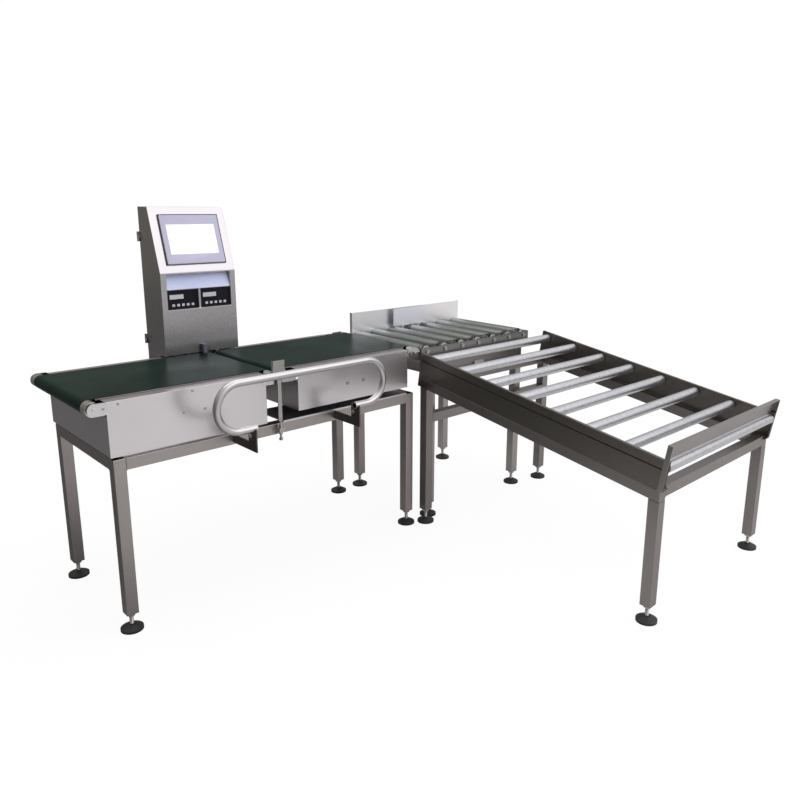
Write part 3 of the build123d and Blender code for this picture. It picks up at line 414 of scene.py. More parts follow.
    def moulded(self, finish: MouldedFinish) -> bpy.types.Material:
        """Make a plastic, rubber or painted finish.

        Args:
            finish: Its colours and texture.

        Returns:
            The material.
        """
        if finish.name in self.made:
            return self.made[finish.name]
        material, nodes, links, shader = self._start(finish.name)
        specks = self._place(nodes, self.effects.streaks, Scale=finish.speck_scale)
        clouds = self._place(nodes, self.effects.clouds, Scale=finish.cloud_scale)
        edges = self._place(nodes, self.effects.edges)
        tone = self._mix(nodes, links, clouds.outputs["Value"], finish.base, finish.dark)
        # Painted highlight: the outer edges lighten to 1.3 times the base colour.
        edge_highlight_tone = tuple(min(1.0, channel * 1.3 + 0.01) for channel in finish.base)
        tone = self._mix(nodes, links, edges.outputs["Value"], tone, edge_highlight_tone)
        links.new(tone, shader.inputs["Base Color"])
        rough = self._scale(
            nodes, links, clouds.outputs["Value"], finish.roughness * 0.85, min(1.0, finish.roughness * 1.15)
        )
        links.new(rough, shader.inputs["Roughness"])
        shader.inputs["Coat Weight"].default_value = finish.coat
        shader.inputs["Specular IOR Level"].default_value = finish.specular
        if finish.glow > 0.0:
            links.new(tone, shader.inputs["Emission Color"])
            shader.inputs["Emission Strength"].default_value = finish.glow
        bump = nodes.new("ShaderNodeBump")
        bump.inputs["Strength"].default_value = finish.bump
        bump.inputs["Distance"].default_value = 0.0003
        links.new(specks.outputs["Value"], bump.inputs["Height"])
        links.new(bump.outputs["Normal"], shader.inputs["Normal"])
        return material


# Painted reflection on the console front: share of the brushed tone by height, darkest at the foot and
# lighter on the leaning face.
CONSOLE_PAINTED_REFLECTION = ((0.755, 0.3), (0.778, 0.35), (0.80, 0.58), (0.92, 0.58), (1.06, 0.5), (1.066, 0.72))
TUBE = SteelFinish(
    "ground tube", (0.36, 0.335, 0.33), (0.22, 0.20, 0.195), 0.36, Grain.ALONG_Z, streak_scale=1400.0
)
TABLE_TUBE = SteelFinish(
    "ground table tube", (0.245, 0.228, 0.223), (0.15, 0.138, 0.133), 0.36, Grain.ALONG_Y, streak_scale=1400.0
)
SHEET = SteelFinish(
    "brushed sheet", (0.66, 0.64, 0.66), (0.50, 0.48, 0.495), 0.30, streak_scale=2200.0, streak_depth=0.06
)
CABINET = SteelFinish(
    "brushed cabinet",
    (0.70, 0.68, 0.70),
    (0.58, 0.56, 0.57),
    0.27,
    Grain.ALONG_Z,
    streak_scale=2600.0,
    streak_depth=0.04,
    bump=0.015,
    # Painted reflection on the front and painted shade on the sides.
    painted_reflection_bands=CONSOLE_PAINTED_REFLECTION,
    painted_side_shade=0.62,
)
CHANNEL = SteelFinish(
    "rolled channel", (0.17, 0.16, 0.148), (0.10, 0.092, 0.082), 0.34, Grain.ALONG_Y, streak_scale=1400.0
)
STOP = SteelFinish(
    "rolled stop", (0.27, 0.255, 0.25), (0.17, 0.158, 0.15), 0.34, Grain.ALONG_X, streak_scale=1400.0
)
MILL = SteelFinish("mill plate", (0.30, 0.29, 0.28), (0.20, 0.19, 0.18), 0.45, Grain.NONE, bump=0.02)
POLISHED = SteelFinish("polished tube", (0.62, 0.62, 0.63), (0.50, 0.49, 0.49), 0.20, bump=0.01)
GUARD = SteelFinish(
    "satin guard", (0.52, 0.51, 0.52), (0.40, 0.39, 0.395), 0.30, streak_scale=1600.0, bump=0.02
)
ZINC = SteelFinish(
    "zinc plating",
    (0.56, 0.57, 0.59),
    (0.40, 0.41, 0.425),
    0.36,
    cloud_scale=60.0,
    cloud_depth=0.6,
    bump=0.03,
)
POWERED = SteelFinish(
    "satin roller", (0.24, 0.26, 0.255), (0.15, 0.17, 0.165), 0.34, Grain.ALONG_Y, cloud_scale=30.0, bump=0.02
)
HARDWARE = SteelFinish("plated hardware", (0.42, 0.41, 0.40), (0.30, 0.29, 0.28), 0.35, Grain.NONE)
DARK_PLATE = SteelFinish("dark bracket", (0.10, 0.092, 0.085), (0.06, 0.055, 0.05), 0.40, Grain.ALONG_Y)
ALUMINIUM = SteelFinish("machined aluminium", (0.60, 0.60, 0.61), (0.48, 0.48, 0.49), 0.32)
PUSHER = SteelFinish("bright pusher", (0.93, 0.94, 1.0), (0.84, 0.85, 0.92), 0.36, bump=0.01)
BACKBOARD = SteelFinish(
    "bright backboard", (0.95, 0.94, 0.96), (0.80, 0.79, 0.81), 0.32, streak_scale=1800.0
)
PAD = MouldedFinish("pad rubber", (0.018, 0.018, 0.020), (0.010, 0.010, 0.011), 0.55)
BELT = MouldedFinish(
    "belt cover", (0.003, 0.019, 0.015), (0.002, 0.013, 0.010), 0.30, bump=0.02, specular=0.05
)
DRIVE_RUBBER = MouldedFinish("drive rubber", (0.015, 0.015, 0.015), (0.010, 0.010, 0.010), 0.6)
MOTOR_PAINT = MouldedFinish("motor paint", (0.05, 0.055, 0.065), (0.035, 0.04, 0.045), 0.4)
BLACK_CASE = MouldedFinish("black case", (0.012, 0.011, 0.010), (0.008, 0.008, 0.007), 0.35)
BEZEL = MouldedFinish("bezel", (0.50, 0.49, 0.64), (0.44, 0.43, 0.58), 0.4)
SCREEN = MouldedFinish("blank screen", (0.93, 0.94, 0.97), (0.90, 0.91, 0.95), 0.2, bump=0.0, glow=0.15)
LENS = MouldedFinish("faceted lens", (0.55, 0.52, 0.50), (0.42, 0.40, 0.38), 0.25)
MARK = MouldedFinish("pale mark", (0.62, 0.64, 0.66), (0.55, 0.57, 0.60), 0.5, bump=0.0)
LINING = MouldedFinish("pale lining", (0.64, 0.70, 0.93), (0.58, 0.64, 0.87), 0.5, specular=0.2)
MODULE = MouldedFinish("module case", (0.010, 0.008, 0.016), (0.006, 0.005, 0.010), 0.5, specular=0.15)
EYE_CASE = MouldedFinish("sensor case", (0.16, 0.165, 0.20), (0.10, 0.10, 0.13), 0.35)
GEAR_CASE = MouldedFinish("gear case", (0.45, 0.46, 0.47), (0.38, 0.39, 0.40), 0.5)

NODE_FINISH: dict[str, object] = {
    "feet_pads": PAD, "feet_stems": HARDWARE, "scale_frame": TUBE, "reject_frame": TUBE,
    "table_frame": TABLE_TUBE, "infeed_casing": SHEET, "weigh_casing": SHEET, "support_plates": SHEET,
    "belt_beds": MILL, "infeed_belt": BELT, "weigh_belt": BELT, "drive_belts": DRIVE_RUBBER,
    "roller_end_plates": POLISHED, "infeed_tail_roller": POLISHED, "infeed_head_roller": POLISHED,
    "weigh_left_roller": POLISHED, "weigh_right_roller": POLISHED, "gear_motors": MOTOR_PAINT,
    "infeed_drive_pulley": ALUMINIUM, "weigh_drive_pulley": ALUMINIUM, "load_cell": ALUMINIUM,
    "load_cell_carriers": MILL, "bumper_guard": GUARD, "guard_brackets": DARK_PLATE,
    "reflector_post": HARDWARE, "reflector": LENS, "photo_eye": EYE_CASE, "console_cabinet": CABINET,
    "console_pedestal": CABINET, "touch_panel": BEZEL, "display_glass": SCREEN,
    "meter_modules": MODULE, "rear_door": CABINET, "door_hinges": HARDWARE, "door_lock": HARDWARE,
    "control_gear": GEAR_CASE, "roller_channels": STOP, "roller_axles": HARDWARE, "backboard": BACKBOARD,
    "pusher_plate": PUSHER, "pusher_carriage": ALUMINIUM, "pusher_slide": POLISHED,
    "side_channels": CHANNEL, "end_stop": STOP, "fasteners": HARDWARE,
}


def finish_of(node: str) -> object:
    """Give the finish of a node.

    Args:
        node: Name of the node.

    Returns:
        Its finish.
    """
    if node.startswith("reject_roller_"):
        return POWERED
    if node.startswith("table_roller_"):
        return ZINC
    return NODE_FINISH[node]


@dataclass
class Studio:
    """Floor, light and camera."""

    camera_at: Point = (-1.3478, -2.3656, 1.3192)
    yaw: float = 46.03
    pitch: float = 13.0
    roll: float = 0.57
    focal_px: float = 728.39
    centre_px: tuple[float, float] = (428.27, 372.12)
    width_px: float = 800.0
    floor_half: float = 9.0
    floor_middle: Point = (0.4, -0.4, 0.0)
    floor_glow: float = 1.02
    glow_share: float = 0.9
    fade_from: float = 1.5
    fade_to: float = 2.3
    bright_side: Point = (0.7, -0.7, 0.1)
    # Painted shade on the floor for reflected and bounced rays: its colour darkens from the front right
    # towards the back left.
    floor_span: tuple[float, float] = (-0.9, 0.9)
    floor_painted_shade: tuple[float, float] = (0.16, 0.76)
    room_color: Color = (1.0, 0.985, 1.0)
    white_level: float = 1.02
    sky_span: tuple[float, float] = (0.12, 0.85)
    sky_levels: tuple[float, float] = (0.12, 0.62)
    front_span: tuple[float, float] = (-0.15, 0.85)
    front_levels: tuple[float, float] = (0.09, 0.70)
    shade_color: Color = (1.0, 0.95, 0.84)
    shade_span: tuple[float, float] = (-0.5, 0.2)

    def camera(self) -> None:
        """Set the camera where the photograph was taken."""
        yaw, pitch, roll = (math.radians(value) for value in (self.yaw, self.pitch, self.roll))
        forward = Vector((math.cos(pitch) * math.cos(yaw), math.cos(pitch) * math.sin(yaw), -math.sin(pitch)))
        right = Vector((math.sin(yaw), -math.cos(yaw), 0.0))
        up = right.cross(forward)
        turned_right = right * math.cos(roll) + up * math.sin(roll)
        turned_up = up * math.cos(roll) - right * math.sin(roll)
        data = bpy.data.cameras.new("camera")
        camera = bpy.data.objects.new("camera", data)
        bpy.context.scene.collection.objects.link(camera)
        turn = Matrix((turned_right, turned_up, -forward)).transposed()
        camera.matrix_world = Matrix.Translation(self.camera_at) @ turn.to_4x4()
        data.sensor_width = 36.0
        data.lens = self.focal_px * data.sensor_width / self.width_px
        data.shift_x = (self.width_px / 2 - self.centre_px[0]) / self.width_px
        data.shift_y = (self.centre_px[1] - self.width_px / 2) / self.width_px
        data.clip_start = 0.05
        data.clip_end = 60.0
        bpy.context.scene.camera = camera

    def floor(self) -> None:
        """Lay a pale floor that keeps a soft shadow and fades into the white background, with painted shade
        towards the back left for rays other than camera rays.
        """
        mesh = bpy.data.meshes.new("floor")
        half = self.floor_half
        mesh.from_pydata(
            [(-half, -half, 0.0), (half, -half, 0.0), (half, half, 0.0), (-half, half, 0.0)],
            [],
            [(0, 1, 2, 3)],
        )
        floor = bpy.data.objects.new("floor", mesh)
        bpy.context.scene.collection.objects.link(floor)
        material = bpy.data.materials.new("floor")
        material.use_nodes = True
        nodes, links = material.node_tree.nodes, material.node_tree.links
        nodes.clear()
        output = nodes.new("ShaderNodeOutputMaterial")
        diffuse = nodes.new("ShaderNodeBsdfDiffuse")
        glow = nodes.new("ShaderNodeEmission")
        glow.inputs["Strength"].default_value = self.floor_glow
        path = nodes.new("ShaderNodeLightPath")
        coord = nodes.new("ShaderNodeTexCoord")
        # Painted shade: the floor colour darkens towards the back left; camera rays see plain pale grey.
        tone = self._ramp(
            nodes, links, coord.outputs["Object"], self.bright_side, self.floor_span, self.floor_painted_shade
        )
        mixed = nodes.new("ShaderNodeMix")
        mixed.data_type = "RGBA"
        mixed.inputs[6].default_value = (0.0, 0.0, 0.0, 1.0)
        mixed.inputs[7].default_value = (1.0, 1.0, 1.0, 1.0)
        links.new(tone, mixed.inputs[0])
        plain = nodes.new("ShaderNodeMix")
        plain.data_type = "RGBA"
        plain.inputs[7].default_value = (0.9, 0.9, 0.9, 1.0)
        links.new(path.outputs["Is Camera Ray"], plain.inputs[0])
        links.new(mixed.outputs[2], plain.inputs[6])
        links.new(plain.outputs[2], diffuse.inputs["Color"])
        away = nodes.new("ShaderNodeVectorMath")
        away.operation = "LENGTH"
        shift = nodes.new("ShaderNodeVectorMath")
        shift.operation = "SUBTRACT"
        shift.inputs[1].default_value = self.floor_middle
        links.new(coord.outputs["Object"], shift.inputs[0])
        links.new(shift.outputs[0], away.inputs[0])
        fade = nodes.new("ShaderNodeMapRange")
        fade.interpolation_type = "SMOOTHSTEP"
        fade.inputs["From Min"].default_value = self.fade_from
        fade.inputs["From Max"].default_value = self.fade_to
        fade.inputs["To Min"].default_value = self.glow_share
        fade.inputs["To Max"].default_value = 1.0
        links.new(away.outputs["Value"], fade.inputs["Value"])
        share = nodes.new("ShaderNodeMath")
        share.operation = "MULTIPLY"
        links.new(path.outputs["Is Camera Ray"], share.inputs[0])
        links.new(fade.outputs["Result"], share.inputs[1])
        mix = nodes.new("ShaderNodeMixShader")
        links.new(share.outputs[0], mix.inputs[0])
        links.new(diffuse.outputs[0], mix.inputs[1])
        links.new(glow.outputs[0], mix.inputs[2])
        links.new(mix.outputs[0], output.inputs["Surface"])
        mesh.materials.append(material)

    @staticmethod
    def _ramp(
        nodes: bpy.types.Nodes,
        links: bpy.types.NodeLinks,
        vector: object,
        direction: Point,
        span: tuple[float, float],
        values: tuple[float, float],
    ) -> object:
        """Grade a value smoothly along a direction.

        Args:
            nodes: The nodes to build in.
            links: The links to build in.
            vector: The socket with the place or direction.
            direction: Where the value rises.
            span: Start and end of the rise.
            values: Value before and after it.

        Returns:
            The socket with the value.
        """
        dot = nodes.new("ShaderNodeVectorMath")
        dot.operation = "DOT_PRODUCT"
        dot.inputs[1].default_value = direction
        ramp = nodes.new("ShaderNodeMapRange")
        ramp.interpolation_type = "SMOOTHSTEP"
        for label, value in zip(("From Min", "From Max", "To Min", "To Max"), (*span, *values)):
            ramp.inputs[label].default_value = value
        links.new(vector, dot.inputs[0])
        links.new(dot.outputs["Value"], ramp.inputs["Value"])
        return ramp.outputs["Result"]

    def world(self) -> None:
        """Light the part from above and from the front right, with a white background."""
        world = bpy.data.worlds.new("studio")
        world.use_nodes = True
        bpy.context.scene.world = world
        nodes, links = world.node_tree.nodes, world.node_tree.links
        nodes.clear()
        output = nodes.new("ShaderNodeOutputWorld")
        room = nodes.new("ShaderNodeBackground")
        seen_white = nodes.new("ShaderNodeBackground")
        seen_white.inputs["Color"].default_value = (1.0, 1.0, 1.0, 1.0)
        seen_white.inputs["Strength"].default_value = self.white_level
        path = nodes.new("ShaderNodeLightPath")
        coord = nodes.new("ShaderNodeTexCoord")
        direction = coord.outputs["Generated"]
        above = self._ramp(nodes, links, direction, (0.0, 0.0, 1.0), self.sky_span, self.sky_levels)
        front = self._ramp(nodes, links, direction, self.bright_side, self.front_span, self.front_levels)
        total = nodes.new("ShaderNodeMath")
        total.operation = "ADD"
        links.new(above, total.inputs[0])
        links.new(front, total.inputs[1])
        links.new(total.outputs[0], room.inputs["Strength"])
        lit = self._ramp(nodes, links, direction, self.bright_side, self.shade_span, (0.0, 1.0))
        tint = nodes.new("ShaderNodeMix")
        tint.data_type = "RGBA"
        tint.inputs[6].default_value = (*self.shade_color, 1.0)
        tint.inputs[7].default_value = (*self.room_color, 1.0)
        links.new(lit, tint.inputs[0])
        links.new(tint.outputs[2], room.inputs["Color"])
        seen = nodes.new("ShaderNodeMath")
        seen.operation = "MAXIMUM"
        links.new(path.outputs["Is Camera Ray"], seen.inputs[0])
        links.new(path.outputs["Is Transmission Ray"], seen.inputs[1])
        mix = nodes.new("ShaderNodeMixShader")
        links.new(seen.outputs[0], mix.inputs[0])
        links.new(room.outputs[0], mix.inputs[1])
        links.new(seen_white.outputs[0], mix.inputs[2])
        links.new(mix.outputs[0], output.inputs["Surface"])

    def lamps(self) -> None:
        """Hang two large soft lamps."""
        for name, place, size, power, color in (
            ("front lamp", (1.6, -3.4, 2.6), 3.8, 46.0, (1.0, 0.97, 0.98)),
            ("top lamp", (0.2, 0.4, 3.6), 3.2, 38.0, (1.0, 1.0, 1.0)),
        ):
            data = bpy.data.lights.new(name, "AREA")
            data.size = size
            data.energy = power
            data.color = color
            lamp = bpy.data.objects.new(name, data)
            bpy.context.scene.collection.objects.link(lamp)
            lamp.location = place
            aim = Vector((0.3, -0.2, 0.6)) - Vector(place)
            lamp.rotation_euler = aim.to_track_quat("-Z", "Y").to_euler()

    def build(self) -> None:
        """Set up the whole studio."""
        bpy.context.scene.view_settings.view_transform = "Standard"
        self.camera()
        self.floor()
        self.world()
        self.lamps()


class Rule:
    """A Geometry Nodes tree with named inputs, applied once to a mesh of points or lines."""

    def __init__(self, name: str, sizes: Sequence[tuple]) -> None:
        """Start the tree.

        Args:
            name: Name of the tree.
            sizes: Triples of input name, socket type and default value.
        """
        self.tree = bpy.data.node_groups.new(name, "GeometryNodeTree")
        face = self.tree.interface
        face.new_socket("Geometry", in_out="INPUT", socket_type="NodeSocketGeometry")
        for label, kind, value in sizes:
            face.new_socket(label, in_out="INPUT", socket_type=kind).default_value = value
        face.new_socket("Material", in_out="INPUT", socket_type="NodeSocketMaterial")
        face.new_socket("Geometry", in_out="OUTPUT", socket_type="NodeSocketGeometry")
        self.size = self.tree.nodes.new("NodeGroupInput").outputs

    def add(self, kind: str, values: dict[object, object], **settings: object) -> bpy.types.Node:
        """Add a node.

        Args:
            kind: Type of the node.
            values: Sockets to link or plain values, by input name or number.
            settings: Properties of the node.

        Returns:
            The node.
        """
        node = self.tree.nodes.new(kind)
        for label, value in settings.items():
            setattr(node, label, value)
        for label, value in values.items():
            if isinstance(value, bpy.types.NodeSocket):
                self.tree.links.new(value, node.inputs[label])
            else:
                node.inputs[label].default_value = value
        return node

    def math(self, operation: str, first: object, second: object) -> object:
        """Work out a number.

        Args:
            operation: The operation.
            first: First socket or number.
            second: Second socket or number.

        Returns:
            The socket with the result.
        """
        return self.add("ShaderNodeMath", {0: first, 1: second}, operation=operation).outputs[0]

    def vector(self, x: object, y: object, z: object) -> object:
        """Join three numbers into a vector.

        Args:
            x: First socket or number.
            y: Second socket or number.
            z: Third socket or number.

        Returns:
            The socket with the vector.
        """
        return self.add("ShaderNodeCombineXYZ", {"X": x, "Y": y, "Z": z}).outputs[0]

    def moved(self, shape: object, offset: object) -> object:
        """Move a shape.

        Args:
            shape: Socket with the shape.
            offset: Socket with the way to move it.

        Returns:
            The socket with the moved shape.
        """
        node = self.add("GeometryNodeTransform", {"Geometry": shape, "Translation": offset})
        return node.outputs["Geometry"]

    def joined(self, *shapes: object) -> object:
        """Join shapes.

        Args:
            shapes: Sockets with the shapes.

        Returns:
            The socket with all of them.
        """
        node = self.add("GeometryNodeJoinGeometry", {})
        for shape in shapes:
            self.tree.links.new(shape, node.inputs[0])
        return node.outputs[0]

    def along_axis(self, spin: bool) -> object:
        """Turn each copy to the axis stored with its point.

        Args:
            spin: Whether each copy also gets a random turn about that axis.

        Returns:
            The socket with the rotation.
        """
        axis = self.add("GeometryNodeInputNamedAttribute", {"Name": "axis"}, data_type="FLOAT_VECTOR")
        turned = self.add(
            "FunctionNodeAlignRotationToVector", {"Vector": axis.outputs["Attribute"]}, axis="Z"
        ).outputs[0]
        if not spin:
            return turned
        angle = self.add(
            "FunctionNodeRandomValue",
            {0: (0.0, 0.0, 0.0), 1: (0.0, 0.0, math.pi), "Seed": self.size["Seed"]},
            data_type="FLOAT_VECTOR",
        ).outputs[0]
        by = self.add("FunctionNodeEulerToRotation", {"Euler": angle}).outputs[0]
        return self.add(
            "FunctionNodeRotateRotation", {"Rotation": turned, "Rotate By": by}, rotation_space="LOCAL"
        ).outputs[0]

    def finish(self, shape: object) -> "Rule":
        """End the tree with real geometry and its material.

        Args:
            shape: Socket with the result.

        Returns:
            This rule.
        """
        real = self.add("GeometryNodeRealizeInstances", {"Geometry": shape})
        painted = self.add(
            "GeometryNodeSetMaterial", {"Geometry": real.outputs[0], "Material": self.size["Material"]}
        )
        self.add("NodeGroupOutput", {0: painted.outputs[0]})
        return self

    def grow(
        self,
        name: str,
        points: Sequence[Point],
        material: bpy.types.Material,
        axes: Sequence[Point] = (),
        lines: Sequence[tuple[int, int]] = (),
        **sizes: object,
    ) -> bpy.types.Object:
        """Apply the tree to points or lines and keep the plain mesh.

        Args:
            name: Name of the piece.
            points: Places in metres.
            material: Finish of the piece.
            axes: Axis of each copy, where it matters.
            lines: Pairs of point numbers.
            sizes: Values by input name, with underscores for spaces.

        Returns:
            The piece.
        """
        seedling = bpy.data.meshes.new(name + "_points")
        seedling.from_pydata(list(points), list(lines), [])
        if axes:
            stored = seedling.attributes.new("axis", "FLOAT_VECTOR", "POINT")
            for item, axis in zip(stored.data, axes):
                item.vector = axis
        piece = bpy.data.objects.new(name, seedling)
        bpy.context.scene.collection.objects.link(piece)
        modifier = piece.modifiers.new("rule", "NODES")
        modifier.node_group = self.tree
        values = {label.replace("_", " "): value for label, value in sizes.items()}
        values["Material"] = material
        for item in self.tree.interface.items_tree:
            if item.in_out == "INPUT" and item.name in values:
                modifier[item.identifier] = values[item.name]
        evaluated = piece.evaluated_get(bpy.context.evaluated_depsgraph_get())
        mesh = bpy.data.meshes.new_from_object(evaluated)
        piece.modifiers.remove(modifier)
        piece.data = mesh
        mesh.name = name
        return piece


class Rules:
    """The repeating shapes of the line."""

    def __init__(self) -> None:
        """Build each tree once."""
        self.screw = self._screw()
        self.thread = self._thread()
        self.bead = self._bead()
        self.plate = self._plate()
        self.cap = self._cap()

    @staticmethod
    def _screw() -> Rule:
        """Build a screw head on a washer, with a slot cut across it.

        Returns:
            The rule.
        """
        rule = Rule(
            "screw heads",
            [
                ("Radius", "NodeSocketFloat", 0.004),
                ("Height", "NodeSocketFloat", 0.0025),
                ("Sides", "NodeSocketInt", 32),
                ("Slot Width", "NodeSocketFloat", 0.001),
                ("Slot Depth", "NodeSocketFloat", 0.001),
                ("Washer", "NodeSocketFloat", 1.4),
                ("Seed", "NodeSocketInt", 7),
            ],
        )
        size = rule.size
        washer_height = rule.math("MULTIPLY", size["Height"], 0.3)
        washer_radius = rule.math("MULTIPLY", size["Radius"], size["Washer"])
        washer = rule.add(
            "GeometryNodeMeshCone",
            {
                "Vertices": 32,
                "Radius Top": rule.math("MULTIPLY", washer_radius, 0.96),
                "Radius Bottom": washer_radius,
                "Depth": washer_height,
            },
        ).outputs["Mesh"]
        head = rule.add(
            "GeometryNodeMeshCone",
            {
                "Vertices": size["Sides"],
                "Radius Top": rule.math("MULTIPLY", size["Radius"], 0.86),
                "Radius Bottom": size["Radius"],
                "Depth": size["Height"],
            },
        ).outputs["Mesh"]
        bar = rule.add(
            "GeometryNodeMeshCube",
            {
                "Size": rule.vector(
                    rule.math("MULTIPLY", size["Radius"], 3.0),
                    size["Slot Width"],
                    rule.math("MULTIPLY", size["Slot Depth"], 2.0),
                )
            },
        ).outputs["Mesh"]
        cutter = rule.moved(bar, rule.vector(0.0, 0.0, size["Height"]))
        slotted = rule.add("GeometryNodeMeshBoolean", {}, operation="DIFFERENCE", solver="EXACT")
        rule.tree.links.new(head, slotted.inputs["Mesh 1"])
        rule.tree.links.new(cutter, slotted.inputs["Mesh 2"])
        copies = rule.add(
            "GeometryNodeInstanceOnPoints",
            {
                "Points": size["Geometry"],
                "Instance": rule.joined(washer, slotted.outputs["Mesh"]),
                "Rotation": rule.along_axis(spin=True),
            },
        )
        return rule.finish(copies.outputs[0])

    @staticmethod
    def _thread() -> Rule:
        """Build stacked thread crests that stand on each point.

        Returns:
            The rule.
        """
        rule = Rule(
            "stem threads",
            [
                ("Crest", "NodeSocketFloat", 0.0066),
                ("Root", "NodeSocketFloat", 0.0058),
                ("Pitch", "NodeSocketFloat", 0.002),
                ("Turns", "NodeSocketInt", 14),
            ],
        )
        size = rule.size
        flank = rule.math("MULTIPLY", size["Pitch"], 0.5)
        lower = rule.add(
            "GeometryNodeMeshCone",
            {"Vertices": 24, "Radius Top": size["Crest"], "Radius Bottom": size["Root"], "Depth": flank},
        ).outputs["Mesh"]
        upper = rule.add(
            "GeometryNodeMeshCone",
            {"Vertices": 24, "Radius Top": size["Root"], "Radius Bottom": size["Crest"], "Depth": flank},
        ).outputs["Mesh"]
        turn = rule.joined(lower, rule.moved(upper, rule.vector(0.0, 0.0, flank)))
        line = rule.add(
            "GeometryNodeMeshLine",
            {"Count": size["Turns"], "Offset": rule.vector(0.0, 0.0, size["Pitch"])},
            mode="OFFSET",
        ).outputs["Mesh"]
        stack = rule.add("GeometryNodeInstanceOnPoints", {"Points": line, "Instance": turn}).outputs[0]
        copies = rule.add("GeometryNodeInstanceOnPoints", {"Points": size["Geometry"], "Instance": stack})
        return rule.finish(copies.outputs[0])

    @staticmethod
    def _bead() -> Rule:
        """Build a weld bead of overlapping drops along lines.

        Returns:
            The rule.
        """
        rule = Rule(
            "weld beads",
            [
                ("Radius", "NodeSocketFloat", 0.0016),
                ("Step", "NodeSocketFloat", 0.0014),
                ("Seed", "NodeSocketInt", 3),
            ],
        )
        size = rule.size
        curve = rule.add("GeometryNodeMeshToCurve", {"Mesh": size["Geometry"]}).outputs[0]
        even = rule.add(
            "GeometryNodeResampleCurve", {"Curve": curve, "Length": size["Step"]}, mode="LENGTH"
        ).outputs[0]
        drop = rule.add("GeometryNodeMeshIcoSphere", {"Radius": size["Radius"], "Subdivisions": 2})
        scale = rule.add(
            "FunctionNodeRandomValue",
            {0: (0.85, 0.85, 0.6), 1: (1.15, 1.15, 0.8), "Seed": size["Seed"]},
            data_type="FLOAT_VECTOR",
        ).outputs[0]
        tangent = rule.add("GeometryNodeInputTangent", {}).outputs[0]
        turn = rule.add("FunctionNodeAlignRotationToVector", {"Vector": tangent}, axis="Z").outputs[0]
        copies = rule.add(
            "GeometryNodeInstanceOnPoints",
            {"Points": even, "Instance": drop.outputs[0], "Rotation": turn, "Scale": scale},
        )
        return rule.finish(copies.outputs[0])

    @staticmethod
    def _plate() -> Rule:
        """Build thin flat plates, one on each point.

        Returns:
            The rule.
        """
        rule = Rule("thin plates", [("Size", "NodeSocketVector", (0.006, 0.0004, 0.006))])
        cube = rule.add("GeometryNodeMeshCube", {"Size": rule.size["Size"]}).outputs["Mesh"]
        copies = rule.add("GeometryNodeInstanceOnPoints", {"Points": rule.size["Geometry"], "Instance": cube})
        return rule.finish(copies.outputs[0])

    @staticmethod
    def _cap() -> Rule:
        """Build a pressed roller cap as a thin disc with a sloped rim.

        Returns:
            The rule.
        """
        rule = Rule(
            "roller caps",
            [("Radius", "NodeSocketFloat", 0.018), ("Height", "NodeSocketFloat", 0.0008)],
        )
        size = rule.size
        rim = rule.add(
            "GeometryNodeMeshCone",
            {
                "Vertices": 32,
                "Radius Top": rule.math("MULTIPLY", size["Radius"], 0.94),
                "Radius Bottom": size["Radius"],
                "Depth": size["Height"],
            },
        ).outputs["Mesh"]
        copies = rule.add(
            "GeometryNodeInstanceOnPoints",
            {"Points": size["Geometry"], "Instance": rim, "Rotation": rule.along_axis(spin=False)},
        )
        return rule.finish(copies.outputs[0])


Box = tuple[Vector, Vector]


def islands(node: bpy.types.Object) -> list[Box]:
    """Find the boxes of the separate solids in a CAD node.

    Args:
        node: The CAD node.

    Returns:
        Lowest and highest corner of each solid, sorted by place.
    """
    grain = 100000.0
    owner: dict[tuple, tuple] = {}

    def root(key: tuple) -> tuple:
        """Find the first place of the solid that a place belongs to."""
        while owner[key] != key:
            owner[key] = owner[owner[key]]
            key = owner[key]
        return key

    world = node.matrix_world
    places = [world @ vertex.co for vertex in node.data.vertices]
    keys = [tuple(round(value * grain) for value in place) for place in places]
    for key in keys:
        owner.setdefault(key, key)
    for face in node.data.polygons:
        first, *others = [keys[index] for index in face.vertices]
        for other in others:
            owner[root(other)] = root(first)
    groups: dict[tuple, list[Vector]] = {}
    for key, place in zip(keys, places):
        groups.setdefault(root(key), []).append(place)
    boxes = []
    for members in groups.values():
        low = Vector([min(place[axis] for place in members) for axis in range(3)])
        high = Vector([max(place[axis] for place in members) for axis in range(3)])
        boxes.append((low, high))
    return sorted(boxes, key=lambda box: tuple(round(value, 4) for value in box[0]))


def solid(
    name: str, points: Sequence[Point], faces: Sequence[tuple], material: bpy.types.Material
) -> bpy.types.Object:
    """Make a closed mesh piece.

    Args:
        name: Name of the piece.
        points: Its corners in metres.
        faces: Its faces, counter-clockwise from outside.
        material: Its finish.

    Returns:
        The piece.
    """
    mesh = bpy.data.meshes.new(name)
    mesh.from_pydata(list(points), [], list(faces))
    mesh.materials.append(material)
    piece = bpy.data.objects.new(name, mesh)
    bpy.context.scene.collection.objects.link(piece)
    return piece


def ring(
    name: str,
    outer: Sequence[Vector],
    inner: Sequence[Vector],
    rise: Vector,
    material: bpy.types.Material,
) -> bpy.types.Object:
    """Make a flat frame between two four-cornered outlines.

    Args:
        name: Name of the piece.
        outer: Outer corners, counter-clockwise seen against the rise.
        inner: Inner corners in the same order.
        rise: From the back face to the front face.
        material: Its finish.

    Returns:
        The piece.
    """
    points = [*outer, *inner, *[p + rise for p in outer], *[p + rise for p in inner]]
    faces = []
    for corner in range(4):
        after = (corner + 1) % 4
        faces.append((corner, after, 8 + after, 8 + corner))
        faces.append((4 + after, 4 + corner, 12 + corner, 12 + after))
        faces.append((8 + corner, 8 + after, 12 + after, 12 + corner))
        faces.append((after, corner, 4 + corner, 4 + after))
    return solid(name, points, faces, material)


